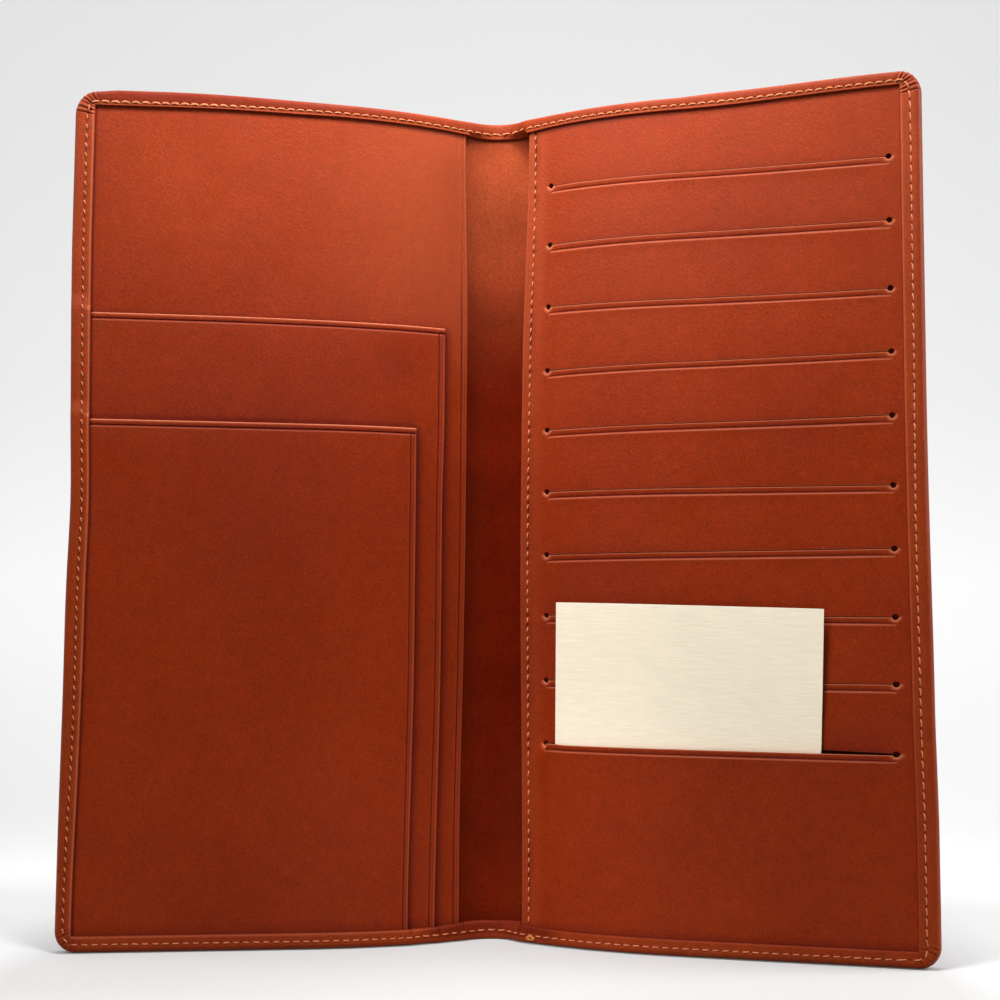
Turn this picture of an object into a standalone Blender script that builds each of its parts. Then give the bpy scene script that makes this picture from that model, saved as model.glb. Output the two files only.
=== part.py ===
"""A long bifold wallet, standing open on its bottom edge like a book.

Every piece is drawn flat first: X runs out from the middle of the spine, Z is up, and -Y
is the depth, from the outer face of the cover towards the reader. Each flat piece is then
rolled onto the wallet's plan, a rounded valley at the spine that runs out into two wings.
"""

import math

import bmesh
import bpy
from mathutils import Vector

MM = 0.001

# Overall size
HEIGHT = 215 * MM
HALF_WIDTH = 111.5 * MM
CORNER_RADIUS = 5.2 * MM

# Plan of the standing wallet, measured on the faces of the pockets
SPINE_RADIUS = 10 * MM
SPINE_ANGLE = math.radians(35.5)
FLARE_RADIUS = 110 * MM
WING_ANGLE = math.radians(11.8)
PAGE_DEPTH = 4 * MM

# Leather and cloth
COVER_LEATHER = 0.9 * MM
HEM_LEATHER = 0.7 * MM
POCKET_LEATHER = 0.6 * MM
LINING_CLOTH = 0.4 * MM
LINER_CLOTH = 0.15 * MM
LAYER_GAP = 0.25 * MM

# Turned hem
END_HEM = 4 * MM
SIDE_HEM = 4.7 * MM
FOLD_BULGE = 1.2 * MM
FOLD_CHAMFER = 0.3 * MM
FOLD_POINTS = 6
HEM_RAMP = 0.8 * MM
CORNER_STEPS = 6

# Fold between the spine and each half
FOLD_GAP = 0.3 * MM
OPEN_FLAT_ANGLE = WING_ANGLE + math.radians(0.7)

# Left half: where the free edges of its three leaves lie
BILL_EDGE = 9.4 * MM
TICKET_EDGE = 15.8 * MM
TICKET_TOP = 158.6 * MM
PASSPORT_EDGE = 23.3 * MM
PASSPORT_TOP = 131.5 * MM
LEAF_CORNER = 0.5 * MM

# Right half: card panel with its row of slits
CARD_EDGE = 8.1 * MM
SLIT_COUNT = 10
SLIT_START = 15 * MM
SLIT_MARGIN = 8.1 * MM
SLIT_WIDTH = 0.35 * MM
SLIT_HOLE = 1.6 * MM
SLIT_PITCH = 16.1 * MM
FIRST_SLIT_DROP = 19.4 * MM
HOLE_POINTS = 10

# Shingled liners behind the slits
LINER_SEAM = 2.5 * MM
LINER_DROP = 47 * MM
LINER_OVERHANG = 1.8 * MM

# Paper card in the lowest slit
CARD_WIDTH = 68.5 * MM
CARD_SHOWN = 34.8 * MM
CARD_STOCK = 0.3 * MM
CARD_CLEARANCE = 0.3 * MM
CARD_FROM_HOLE = 2.2 * MM
CARD_TILT = math.radians(1.0)
CARD_SEAT = 1.2 * MM
LIP_SIDE_EASE = 1.5 * MM

# Slices that let a flat piece bend
SPINE_SLICES = 8
FLARE_SLICES = 10

# Finishes: colour and roughness
POCKET_FINISH = ((0.36, 0.075, 0.028), 0.45)
COVER_FINISH = ((0.30, 0.065, 0.026), 0.45)
SUEDE_FINISH = ((0.13, 0.028, 0.012), 0.9)
CLOTH_FINISH = ((0.09, 0.03, 0.016), 0.85)
PAPER_FINISH = ((0.87, 0.80, 0.64), 0.7)

# Depths of the layers, from the outer face of the cover
LINING_BACK = COVER_LEATHER + LAYER_GAP
LINING_FRONT = LINING_BACK + LINING_CLOTH
BILL_BACK = LINING_FRONT + LAYER_GAP
BILL_FRONT = BILL_BACK + POCKET_LEATHER
TICKET_BACK = BILL_FRONT + LAYER_GAP
TICKET_FRONT = TICKET_BACK + POCKET_LEATHER
PASSPORT_BACK = TICKET_FRONT + LAYER_GAP
PASSPORT_FRONT = PASSPORT_BACK + POCKET_LEATHER
BACKING_BACK = LINING_FRONT + LAYER_GAP
BACKING_FRONT = BACKING_BACK + LINER_CLOTH
LINER_SLOPE = (LINER_CLOTH + LAYER_GAP) / SLIT_PITCH
LINER_FALL = (LINER_SEAM + LINER_DROP) * LINER_SLOPE
PANEL_BACK = BACKING_FRONT + LAYER_GAP + LINER_CLOTH + LINER_FALL + LAYER_GAP
PANEL_FRONT = PANEL_BACK + POCKET_LEATHER

# The hem's front face lies one gap and its own leather above what it covers
HEM_RISE = LAYER_GAP + HEM_LEATHER
SPINE_HEM = LINING_FRONT + HEM_RISE
LEAF_INSET = COVER_LEATHER + FOLD_CHAMFER + LAYER_GAP

# The valley ends at the fold lines, and the flare at the straight wings
FOLD_LINE = SPINE_RADIUS * SPINE_ANGLE
FLARE_END = FOLD_LINE + FLARE_RADIUS * (SPINE_ANGLE - WING_ANGLE)
FOLD_DEPTH = SPINE_HEM

SLIT_LENGTH = HALF_WIDTH - SLIT_START - SLIT_MARGIN
LAST_SLIT = HEIGHT - FIRST_SLIT_DROP - (SLIT_COUNT - 1) * SLIT_PITCH
CARD_BOTTOM = END_HEM + CARD_SEAT


def plan_point(u, depth):
    """The place on the floor of a point u along the plan, this deep from the cover's outer face."""
    side = math.copysign(1, u)
    run = abs(u)
    if run <= FOLD_LINE:
        angle = run / SPINE_RADIUS
        out = SPINE_RADIUS * math.sin(angle)
        forward = SPINE_RADIUS * (1 - math.cos(angle))
    else:
        curved = min(run, FLARE_END) - FOLD_LINE
        straight = max(run - FLARE_END, 0)
        angle = SPINE_ANGLE - curved / FLARE_RADIUS
        out = SPINE_RADIUS * math.sin(SPINE_ANGLE)
        out += FLARE_RADIUS * (math.sin(SPINE_ANGLE) - math.sin(angle))
        out += straight * math.cos(angle)
        forward = SPINE_RADIUS * (1 - math.cos(SPINE_ANGLE))
        forward += FLARE_RADIUS * (math.cos(angle) - math.cos(SPINE_ANGLE))
        forward += straight * math.sin(angle)
    lift = depth - PAGE_DEPTH
    return Vector((side * (out - lift * math.sin(angle)), -forward - lift * math.cos(angle)))


def fold_profile(front):
    """(distance in from the edge, depth) round the outside of the turned edge, back to front."""
    points = []
    flat = math.cos(math.pi / 2 / (FOLD_POINTS - 1))
    for i in range(FOLD_POINTS):
        turn = math.pi * (i / (FOLD_POINTS - 1) - 0.5)
        inward = FOLD_BULGE * (1 - math.cos(turn) / flat)
        points.append((max(inward, 0), front / 2 * (1 + math.sin(turn))))
    return points


def hem_profile(front, width):
    """The whole section of the turned edge, from the cover's outer face round to its inner face."""
    under = front - HEM_LEATHER
    wall = COVER_LEATHER
    eased = wall + FOLD_CHAMFER
    points = fold_profile(front)
    points += [(width, front), (width, under), (eased, under), (wall, under - FOLD_CHAMFER)]
    points += [(wall, eased), (eased, wall)]
    return points


def base_middle():
    """The middle of the standing wallet from back to front, which becomes the origin."""
    back = plan_point(0, 0).y
    edge = fold_profile(PANEL_FRONT + HEM_RISE)
    front = min(plan_point(HALF_WIDTH - inward, depth).y for inward, depth in edge)
    return (back + front) / 2


BASE_MIDDLE = base_middle()


def roll_point(point):
    """A flat point carried onto the plan."""
    x, y = plan_point(point.x, -point.y)
    return Vector((x, y - BASE_MIDDLE, point.z))


def slices():
    """Where the flat pieces are cut across so that they bend."""
    places = [FOLD_LINE * (2 * i / SPINE_SLICES - 1) for i in range(1, SPINE_SLICES)]
    for i in range(FLARE_SLICES + 1):
        out = FOLD_LINE + (FLARE_END - FOLD_LINE) * i / FLARE_SLICES
        places += [out, -out]
    return places


def cut_across(bm, place, normal):
    everything = bm.verts[:] + bm.edges[:] + bm.faces[:]
    bmesh.ops.bisect_plane(bm, geom=everything, plane_co=place, plane_no=normal, dist=1e-7)


def rounded_outline(left, right, bottom, top, radii):
    """A rectangle in (x, z) with a radius for each corner: bottom left, bottom right, top right, top left."""
    corners = [(left, bottom), (right, bottom), (right, top), (left, top)]
    points = []
    for i, ((x, z), radius) in enumerate(zip(corners, radii)):
        if radius == 0:
            points.append((x, z))
            continue
        centre_x = x + radius * (1 if x == left else -1)
        centre_z = z + radius * (1 if z == bottom else -1)
        for step in range(CORNER_STEPS + 1):
            angle = math.radians(180 + 90 * i + 90 * step / CORNER_STEPS)
            points.append((centre_x + radius * math.cos(angle), centre_z + radius * math.sin(angle)))
    return points


def add_slab(bm, outline, back, front):
    """A flat piece with this outline, from one depth to the other."""
    rim = [bm.verts.new((x, -back, z)) for x, z in outline]
    face = bm.faces.new(rim)
    grown = bmesh.ops.extrude_face_region(bm, geom=[face])["geom"]
    moved = [item for item in grown if isinstance(item, bmesh.types.BMVert)]
    bmesh.ops.translate(bm, verts=moved, vec=(0, back - front, 0))


def material(name, finish):
    colour, roughness = finish
    made = bpy.data.materials.new(name)
    made.use_nodes = True
    shader = made.node_tree.nodes["Principled BSDF"]
    shader.inputs["Base Color"].default_value = (*colour, 1)
    shader.inputs["Roughness"].default_value = roughness
    shader.inputs["Metallic"].default_value = 0
    made.diffuse_color = (*colour, 1)
    return made


def make_object(name, bm, finish):
    bmesh.ops.recalc_face_normals(bm, faces=bm.faces)
    mesh = bpy.data.meshes.new(name)
    bm.to_mesh(mesh)
    bm.free()
    obj = bpy.data.objects.new(name, mesh)
    bpy.context.collection.objects.link(obj)
    mesh.materials.append(material(name, finish))
    return obj


def roll_up(obj):
    """Slices a flat piece and rolls it onto the plan."""
    bm = bmesh.new()
    bm.from_mesh(obj.data)
    for place in slices():
        cut_across(bm, (place, 0, 0), (1, 0, 0))
    bmesh.ops.triangulate(bm, faces=bm.faces)
    for vert in bm.verts:
        vert.co = roll_point(vert.co)
    bmesh.ops.recalc_face_normals(bm, faces=bm.faces)
    bm.to_mesh(obj.data)
    bm.free()
    return obj


def fold_edge(depth):
    """How far out a half starts, at this depth: its end leans back so that the half opens flat."""
    return FOLD_LINE + FOLD_GAP / 2 + max(FOLD_DEPTH - depth, 0) * math.tan(OPEN_FLAT_ANGLE)


def ramp_up(place, low, high):
    """The hem climbs onto a layer just before the layer's edge."""
    return [(place - LAYER_GAP - HEM_RAMP, low), (place - LAYER_GAP, high)]


def ramp_down(place, high, low):
    return [(place + LAYER_GAP, high), (place + LAYER_GAP + HEM_RAMP, low)]


def corner_stations(centre_z, start, front, first_width, last_width):
    """Stations round a corner: (x, z, inward x, inward z, hem front, hem width)."""
    found = []
    for step in range(CORNER_STEPS + 1):
        share = step / CORNER_STEPS
        angle = math.radians(start + 90 * share)
        out_x, out_z = math.cos(angle), math.sin(angle)
        x = HALF_WIDTH - CORNER_RADIUS + CORNER_RADIUS * out_x
        z = centre_z + CORNER_RADIUS * out_z
        width = first_width + (last_width - first_width) * share
        found.append((x, z, -out_x, -out_z, front, width))
    return found


def edge_stations(bottom, side, top):
    """Stations along the turned edge of a half, from the spine round its outer end and back."""
    stations = [(x, 0, 0, 1, front, END_HEM) for x, front in bottom]
    stations += corner_stations(CORNER_RADIUS, -90, bottom[-1][1], END_HEM, SIDE_HEM)
    stations += [(HALF_WIDTH, z, -1, 0, front, SIDE_HEM) for z, front in side]
    stations += corner_stations(HEIGHT - CORNER_RADIUS, 0, top[-1][1], SIDE_HEM, END_HEM)
    stations += [(x, HEIGHT, 0, -1, front, END_HEM) for x, front in reversed(top)]
    return stations


def make_cover_half(name, side, stations):
    """Half of the cover, with its edge turned over on three sides; side is 1 on the right."""
    bm = bmesh.new()
    rows = []
    for i, (x, z, inward_x, inward_z, front, width) in enumerate(stations):
        at_spine = i in (0, len(stations) - 1)
        row = []
        for inward, depth in hem_profile(front, width):
            out = fold_edge(depth) if at_spine else x + inward_x * inward
            row.append(bm.verts.new((side * out, -depth, z + inward_z * inward)))
        rows.append(row)
    for first, second in zip(rows, rows[1:]):
        for j in range(len(first) - 1):
            bm.faces.new((first[j], first[j + 1], second[j + 1], second[j]))
    bm.faces.new([row[0] for row in rows])
    bm.faces.new([row[-1] for row in reversed(rows)])
    bm.faces.new(rows[0] + rows[-1][::-1])
    return roll_up(make_object(name, bm, COVER_FINISH))


def make_cover_spine():
    """The strip of cover between the two fold lines, turned over at its top and bottom."""
    bm = bmesh.new()
    section = hem_profile(SPINE_HEM, END_HEM)
    ring = [(depth, inward) for inward, depth in section]
    ring += [(depth, HEIGHT - inward) for inward, depth in reversed(section)]
    start = -(FOLD_LINE - FOLD_GAP / 2)
    face = bm.faces.new([bm.verts.new((start, -depth, z)) for depth, z in ring])
    grown = bmesh.ops.extrude_face_region(bm, geom=[face])["geom"]
    moved = [item for item in grown if isinstance(item, bmesh.types.BMVert)]
    bmesh.ops.translate(bm, verts=moved, vec=(-2 * start, 0, 0))
    return roll_up(make_object("cover_spine", bm, COVER_FINISH))


def make_leaf(name, inner, outer, bottom, top, back, front, radii, finish):
    """A flat leaf between two distances from the spine, negative on the left."""
    bm = bmesh.new()
    left, right = sorted((inner, outer))
    add_slab(bm, rounded_outline(left, right, bottom, top, radii), back, front)
    return roll_up(make_object(name, bm, finish))


def make_covers():
    spine = SPINE_HEM
    bill = BILL_FRONT + HEM_RISE
    ticket = TICKET_FRONT + HEM_RISE
    passport = PASSPORT_FRONT + HEM_RISE
    panel = PANEL_FRONT + HEM_RISE
    start = [(FOLD_LINE, spine)]
    left_top = start + ramp_up(BILL_EDGE, spine, bill)
    left_bottom = left_top + ramp_up(TICKET_EDGE, bill, ticket)
    left_bottom += ramp_up(PASSPORT_EDGE, ticket, passport)
    left_side = ramp_down(PASSPORT_TOP, passport, ticket) + ramp_down(TICKET_TOP, ticket, bill)
    right_end = start + ramp_up(CARD_EDGE, spine, panel)
    return (
        make_cover_half("cover_left", -1, edge_stations(left_bottom, left_side, left_top)),
        make_cover_half("cover_right", 1, edge_stations(right_end, [], right_end)),
        make_cover_spine(),
    )


def make_linings():
    """The sueded lining: one leaf behind the pockets of each half, and a strip down the spine."""
    low, high = LEAF_INSET, HEIGHT - LEAF_INSET
    outer = HALF_WIDTH - LEAF_INSET
    inner = fold_edge(LINING_BACK)
    strip = FOLD_LINE - FOLD_GAP / 2
    round_end = CORNER_RADIUS - LEAF_INSET
    left = (round_end, 0, 0, round_end)
    right = (0, round_end, round_end, 0)
    layer = (LINING_BACK, LINING_FRONT)
    return (
        make_leaf("lining_left", -inner, -outer, low, high, *layer, left, SUEDE_FINISH),
        make_leaf("lining_right", inner, outer, low, high, *layer, right, SUEDE_FINISH),
        make_leaf("lining_spine", -strip, strip, low, high, *layer, (0, 0, 0, 0), SUEDE_FINISH),
    )


def make_left_leaves():
    """The bill panel, and the two pockets sewn over it along the outer and bottom hems."""
    low = LEAF_INSET
    outer = -(HALF_WIDTH - LEAF_INSET)
    end = CORNER_RADIUS - LEAF_INSET
    bill_top = HEIGHT - LEAF_INSET
    bill_corners = (end, 0, 0, end)
    corners = (end, 0, LEAF_CORNER, 0)
    bill = (BILL_BACK, BILL_FRONT)
    ticket = (TICKET_BACK, TICKET_FRONT)
    passport = (PASSPORT_BACK, PASSPORT_FRONT)
    finish = POCKET_FINISH
    return (
        make_leaf("bill_panel", -BILL_EDGE, outer, low, bill_top, *bill, bill_corners, finish),
        make_leaf("ticket_pocket", -TICKET_EDGE, outer, low, TICKET_TOP, *ticket, corners, finish),
        make_leaf("passport_pocket", -PASSPORT_EDGE, outer, low, PASSPORT_TOP, *passport, corners, finish),
    )


def slit_height(number):
    return HEIGHT - FIRST_SLIT_DROP - number * SLIT_PITCH


def slit_outline(z):
    """A slit with a round hole at each end, as one outline."""
    radius = SLIT_HOLE / 2
    mouth = math.asin(SLIT_WIDTH / SLIT_HOLE)
    points = []
    for centre, facing in ((SLIT_START, 0), (SLIT_START + SLIT_LENGTH, math.pi)):
        for step in range(HOLE_POINTS + 1):
            angle = facing + mouth + (2 * math.pi - 2 * mouth) * step / HOLE_POINTS
            points.append((centre + radius * math.cos(angle), z + radius * math.sin(angle)))
    return points


def card_back(z):
    """Depth of the back of the paper card, which leans out of the lowest slit."""
    return PANEL_FRONT + CARD_CLEARANCE + (z - LAST_SLIT) * card_lean()


def card_lean():
    """How much the card comes forward for each metre up, from its seat on the liner to the slit."""
    drop = LAST_SLIT - CARD_BOTTOM
    seat = PANEL_BACK - LAYER_GAP - (LINER_SEAM + drop) * LINER_SLOPE + CARD_CLEARANCE
    return (PANEL_FRONT + CARD_CLEARANCE - seat) / drop


def lip_places():
    """Distances from the spine between which the card holds the lowest lip right open."""
    near = SLIT_START + LIP_SIDE_EASE
    far = SLIT_START + min(CARD_FROM_HOLE + CARD_WIDTH + LIP_SIDE_EASE, SLIT_LENGTH - LIP_SIDE_EASE)
    return near, far


def lip_share(x):
    near, far = lip_places()
    end = SLIT_START + SLIT_LENGTH
    rising = (x - SLIT_START) / (near - SLIT_START)
    falling = (end - x) / (end - far)
    return max(0, min(1, rising, falling))


def lip_bulge(x, z):
    """How far the panel is pushed forward below the lowest slit."""
    if z >= LAST_SLIT:
        return 0
    clear = card_back(z) + CARD_STOCK + CARD_CLEARANCE
    return max(clear - PANEL_BACK, 0) * lip_share(x)


def make_slit_cutter():
    bm = bmesh.new()
    for number in range(SLIT_COUNT):
        add_slab(bm, slit_outline(slit_height(number)), PANEL_BACK - LAYER_GAP, PANEL_FRONT + LAYER_GAP)
    cutter = make_object("slit_cutter", bm, POCKET_FINISH)
    cutter.hide_render = True
    cutter.display_type = "WIRE"
    return cutter


def make_card_panel():
    """The leather card panel, with a punched slit for each card and the lowest lip held open."""
    low, high = LEAF_INSET, HEIGHT - LEAF_INSET
    end = CORNER_RADIUS - LEAF_INSET
    bm = bmesh.new()
    outline = rounded_outline(CARD_EDGE, HALF_WIDTH - LEAF_INSET, low, high, (0, end, end, 0))
    add_slab(bm, outline, PANEL_BACK, PANEL_FRONT)
    panel = make_object("card_panel", bm, POCKET_FINISH)
    cutter = make_slit_cutter()
    cut = panel.modifiers.new("slits", "BOOLEAN")
    cut.object = cutter
    cut.operation = "DIFFERENCE"
    cut.solver = "EXACT"
    graph = bpy.context.evaluated_depsgraph_get()
    carved = bpy.data.meshes.new_from_object(panel.evaluated_get(graph))
    panel.modifiers.clear()
    panel.data = carved
    bpy.data.objects.remove(cutter)
    bm = bmesh.new()
    bm.from_mesh(panel.data)
    lip_end = LAST_SLIT - (lip_bulge(sum(lip_places()) / 2, LAST_SLIT - SLIT_WIDTH) / card_lean())
    cut_across(bm, (0, 0, lip_end), (0, 0, 1))
    for place in lip_places():
        cut_across(bm, (place, 0, 0), (1, 0, 0))
    for vert in bm.verts:
        vert.co.y -= lip_bulge(vert.co.x, vert.co.z)
    bm.to_mesh(panel.data)
    bm.free()
    return roll_up(panel)


def make_card_liner(number):
    """A strip of cloth that hangs behind one slit, each shingled over the one above."""
    top = slit_height(number) + LINER_SEAM
    bottom = max(slit_height(number) - LINER_DROP, LEAF_INSET)
    left = SLIT_START - LINER_OVERHANG
    right = SLIT_START + SLIT_LENGTH + LINER_OVERHANG
    front = PANEL_BACK - LAYER_GAP
    bm = bmesh.new()
    outline = rounded_outline(left, right, bottom, top, (0, 0, 0, 0))
    add_slab(bm, outline, front - LINER_CLOTH, front)
    for vert in bm.verts:
        vert.co.y += (top - vert.co.z) * LINER_SLOPE
    return roll_up(make_object(f"card_liner_{number + 1:02d}", bm, CLOTH_FINISH))


def make_card_backing():
    """The thin cloth wall that closes the card pockets off from the space behind them."""
    low, high = LEAF_INSET, HEIGHT - LEAF_INSET
    end = CORNER_RADIUS - LEAF_INSET
    outer = HALF_WIDTH - LEAF_INSET
    layer = (BACKING_BACK, BACKING_FRONT)
    corners = (0, end, end, 0)
    return make_leaf("card_backing", CARD_EDGE, outer, low, high, *layer, corners, CLOTH_FINISH)


def make_insert_card():
    """The bare paper card, leaning out of the lowest slit and turned a little to the right."""
    left = SLIT_START + CARD_FROM_HOLE
    height = LAST_SLIT + CARD_SHOWN - CARD_BOTTOM
    bm = bmesh.new()
    outline = rounded_outline(0, CARD_WIDTH, 0, height, (0, 0, 0, 0))
    add_slab(bm, outline, 0, CARD_STOCK)
    for vert in bm.verts:
        x, z = vert.co.x, vert.co.z - height
        turned_x = x * math.cos(CARD_TILT) + z * math.sin(CARD_TILT)
        turned_z = z * math.cos(CARD_TILT) - x * math.sin(CARD_TILT)
        vert.co.x = left + CARD_SHOWN * math.sin(CARD_TILT) + turned_x
        vert.co.z = LAST_SLIT + CARD_SHOWN + CARD_WIDTH / 2 * math.sin(CARD_TILT) + turned_z
        vert.co.y -= card_back(vert.co.z)
    return roll_up(make_object("insert_card", bm, PAPER_FINISH))


def add_axis(name, u, depth, z=0):
    """An empty on a joint, for what turns or slides with it."""
    axis = bpy.data.objects.new(name, None)
    axis.empty_display_size = 10 * MM
    axis.location = roll_point(Vector((u, -depth, z)))
    bpy.context.collection.objects.link(axis)
    return axis


def carry(parent, pieces):
    bpy.context.view_layer.update()
    for piece in pieces:
        piece.parent = parent
        piece.matrix_parent_inverse = parent.matrix_world.inverted()


def clear_scene():
    for obj in list(bpy.data.objects):
        bpy.data.objects.remove(obj)


def main():
    clear_scene()
    cover_left, cover_right, cover_spine = make_covers()
    lining_left, lining_right, lining_spine = make_linings()
    left_leaves = make_left_leaves()
    liners = [make_card_liner(number) for number in range(SLIT_COUNT)]
    backing = make_card_backing()
    panel = make_card_panel()
    card = make_insert_card()

    spine = add_axis("spine", 0, 0)
    left_fold = add_axis("left_fold", -FOLD_LINE, FOLD_DEPTH)
    right_fold = add_axis("right_fold", FOLD_LINE, FOLD_DEPTH)
    middle = SLIT_START + CARD_FROM_HOLE + CARD_WIDTH / 2
    card_slide = add_axis("card_slide", middle, card_back(LAST_SLIT), LAST_SLIT)
    carry(spine, [cover_spine, lining_spine, left_fold, right_fold])
    carry(left_fold, [cover_left, lining_left, *left_leaves])
    carry(right_fold, [cover_right, lining_right, backing, panel, *liners, card_slide])
    carry(card_slide, [card])


main()
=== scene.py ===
"""A long bifold wallet in tan calf, standing open on its bottom edge like a book.

Every piece is drawn flat first, as a leather worker lays it out: X runs out from the middle
of the spine, Z is up, and -Y is the depth, from the outer face of the cover towards the
reader. Each flat piece is then rolled onto the plan of the standing wallet.
"""

import math

import bmesh
import bpy
import numpy as np
from mathutils import Matrix, Vector


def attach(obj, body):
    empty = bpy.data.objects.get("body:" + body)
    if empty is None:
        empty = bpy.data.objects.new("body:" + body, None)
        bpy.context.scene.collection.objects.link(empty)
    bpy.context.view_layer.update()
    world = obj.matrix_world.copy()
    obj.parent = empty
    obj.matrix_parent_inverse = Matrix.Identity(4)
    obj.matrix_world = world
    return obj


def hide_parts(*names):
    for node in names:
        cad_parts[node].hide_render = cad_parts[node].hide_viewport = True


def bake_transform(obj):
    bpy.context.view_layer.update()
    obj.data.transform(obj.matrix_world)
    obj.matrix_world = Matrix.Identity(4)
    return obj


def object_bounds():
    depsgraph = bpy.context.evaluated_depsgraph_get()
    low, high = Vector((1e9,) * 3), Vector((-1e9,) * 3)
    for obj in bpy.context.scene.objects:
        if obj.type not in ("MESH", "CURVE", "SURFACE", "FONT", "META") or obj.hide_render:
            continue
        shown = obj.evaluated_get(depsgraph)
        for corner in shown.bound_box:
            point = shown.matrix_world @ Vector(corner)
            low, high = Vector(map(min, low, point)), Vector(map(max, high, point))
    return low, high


bl_info = {
    "name": "Long bifold wallet",
    "version": (1, 0, 0),
    "blender": (4, 5, 0),
    "location": "View3D > Sidebar > Wallet",
    "description": "Builds a long bifold wallet in tan calf, with its card, thread and stage",
    "category": "Object",
}

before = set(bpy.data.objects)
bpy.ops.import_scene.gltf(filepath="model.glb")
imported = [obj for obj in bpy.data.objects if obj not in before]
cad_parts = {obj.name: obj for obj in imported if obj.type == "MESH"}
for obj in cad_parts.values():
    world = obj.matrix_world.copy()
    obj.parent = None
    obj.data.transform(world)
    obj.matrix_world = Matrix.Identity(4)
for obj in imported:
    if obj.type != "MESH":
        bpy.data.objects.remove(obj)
CAD_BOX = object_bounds()

MM = 0.001

# Overall size, and the plan that the flat pieces are rolled onto
HEIGHT = CAD_BOX[1].z
HALF_WIDTH = 111.5 * MM
CORNER_RADIUS = 5.2 * MM
SPINE_RADIUS = 10 * MM
SPINE_ANGLE = math.radians(35.5)
FLARE_RADIUS = 110 * MM
WING_ANGLE = math.radians(11.8)
PAGE_DEPTH = 4 * MM
BASE_MIDDLE = PAGE_DEPTH - CAD_BOX[1].y
FOLD_LINE = SPINE_RADIUS * SPINE_ANGLE
FLARE_END = FOLD_LINE + FLARE_RADIUS * (SPINE_ANGLE - WING_ANGLE)

# Leather and cloth
COVER_LEATHER = 0.9 * MM
HEM_LEATHER = 0.7 * MM
POCKET_LEATHER = 0.6 * MM
LINING_CLOTH = 0.4 * MM
LINER_CLOTH = 0.15 * MM
LAYER_GAP = 0.25 * MM

# Depths of the front faces, from the outer face of the cover
LINING_FRONT = COVER_LEATHER + LAYER_GAP + LINING_CLOTH
BILL_FRONT = LINING_FRONT + LAYER_GAP + POCKET_LEATHER
TICKET_FRONT = BILL_FRONT + LAYER_GAP + POCKET_LEATHER
PASSPORT_FRONT = TICKET_FRONT + LAYER_GAP + POCKET_LEATHER
HEM_RISE = LAYER_GAP + HEM_LEATHER
FOLD_DEPTH = LINING_FRONT + HEM_RISE

# Free edges of the pockets, from the spine and from the foot
BILL_EDGE = 9.4 * MM
TICKET_EDGE = 15.8 * MM
TICKET_TOP = 158.6 * MM
PASSPORT_EDGE = 23.5 * MM
PASSPORT_TOP = 131.35 * MM
CARD_EDGE = 7.75 * MM
EDGE_ROUNDING = 0.26 * MM

# Outer edges of the leaves, sewn in under the hem, and the line of painted shade beside the foot hem's inner
# edge
LEAF_INSET = COVER_LEATHER + 0.55 * MM
LEAF_SIDE = HALF_WIDTH - LEAF_INSET
LEAF_HEAD = HEIGHT - LEAF_INSET
LEAF_CORNER = CORNER_RADIUS - LEAF_INSET
FOOT_SHADE_LINE = 4.1 * MM

# Places painted darker than the rest: x, z, reach, all in mm, and depth
LEFT_CLOUDS = ((-60, 138, 38, 0.33), (-28, 148, 5, 0.18), (-70, 98, 25, 0.13))
RIGHT_CLOUDS = ((30, 86, 20, 0.24), (40, 130, 22, 0.1), (80, 134, 14, 0.1), (62, 187, 18, 0.16))

# Turned edge: its rounding, its corners, how far apart its points lie, and how far it takes to
# climb onto a layer: at its inner edge, along its outer edge, and beside the spine
FOLD_BULGE = 1.2 * MM
CORNER_ZONE = 7.5 * MM
HEM_STEP = 0.35 * MM
CORNER_STEP = 0.12 * MM
RAMP = 1.4 * MM
SOFT_RAMP = 5 * MM
SPINE_RAMP = 8 * MM

# Distance of the stitch line from the edge
FOOT_STITCH = 2.2 * MM
HEAD_STITCH = 2.7 * MM

# What counts as a sharp edge
SHARP_ANGLE = math.radians(50)

# Pleats round a corner: how far round each one is, from foot or head to side, and how deep
PLEATS = ((0.05, 0.6), (0.2, 1.0), (0.36, 0.7), (0.5, 1.0), (0.61, 0.6), (0.76, 1.0), (0.93, 0.9))

# Hem stitches at the foot, the side and the head: share of the pitch, slant and bow in mm,
# inward, the painted shade in their needle holes, and the painted highlight on the hem's inner rim
LEFT_STITCHES = (
    (0.62, 0.0, -0.08, 0.6, 0.2), (0.5, -0.35, 0.12, 0.5, 0.36), (0.9, 0.1, -0.2, 0.75, 0.1)
)
RIGHT_STITCHES = (
    (0.66, 0.1, -0.08, 0.6, 0.12), (0.78, 0.2, -0.18, 0.8, 0.18), (0.9, 0.15, -0.25, 0.75, 0.1)
)

# Slits of the card panel, the pressed line and the lip below each, and the liners behind
SLIT_COUNT = 10
SLIT_START = 15 * MM
SLIT_END = HALF_WIDTH - 8.1 * MM
SLIT_PITCH = 16.1 * MM
SLIT_GAP = 0.1 * MM
CREASE_DROP = 1.52 * MM
LIP_DROP = 1.9 * MM
FIRST_SLIT = HEIGHT - 19.4 * MM
SLITS = tuple(FIRST_SLIT - i * SLIT_PITCH for i in range(SLIT_COUNT))
LAST_SLIT = SLITS[-1]
LINER_SEAM = 2.5 * MM
LINER_SLOPE = (LINER_CLOTH + LAYER_GAP) / SLIT_PITCH
LINER_FALL = (LINER_SEAM + 47 * MM) * LINER_SLOPE
PANEL_BACK = LINING_FRONT + LAYER_GAP + LINER_CLOTH + LAYER_GAP + LINER_CLOTH + LINER_FALL + LAYER_GAP
PANEL_FRONT = PANEL_BACK + POCKET_LEATHER

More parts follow.
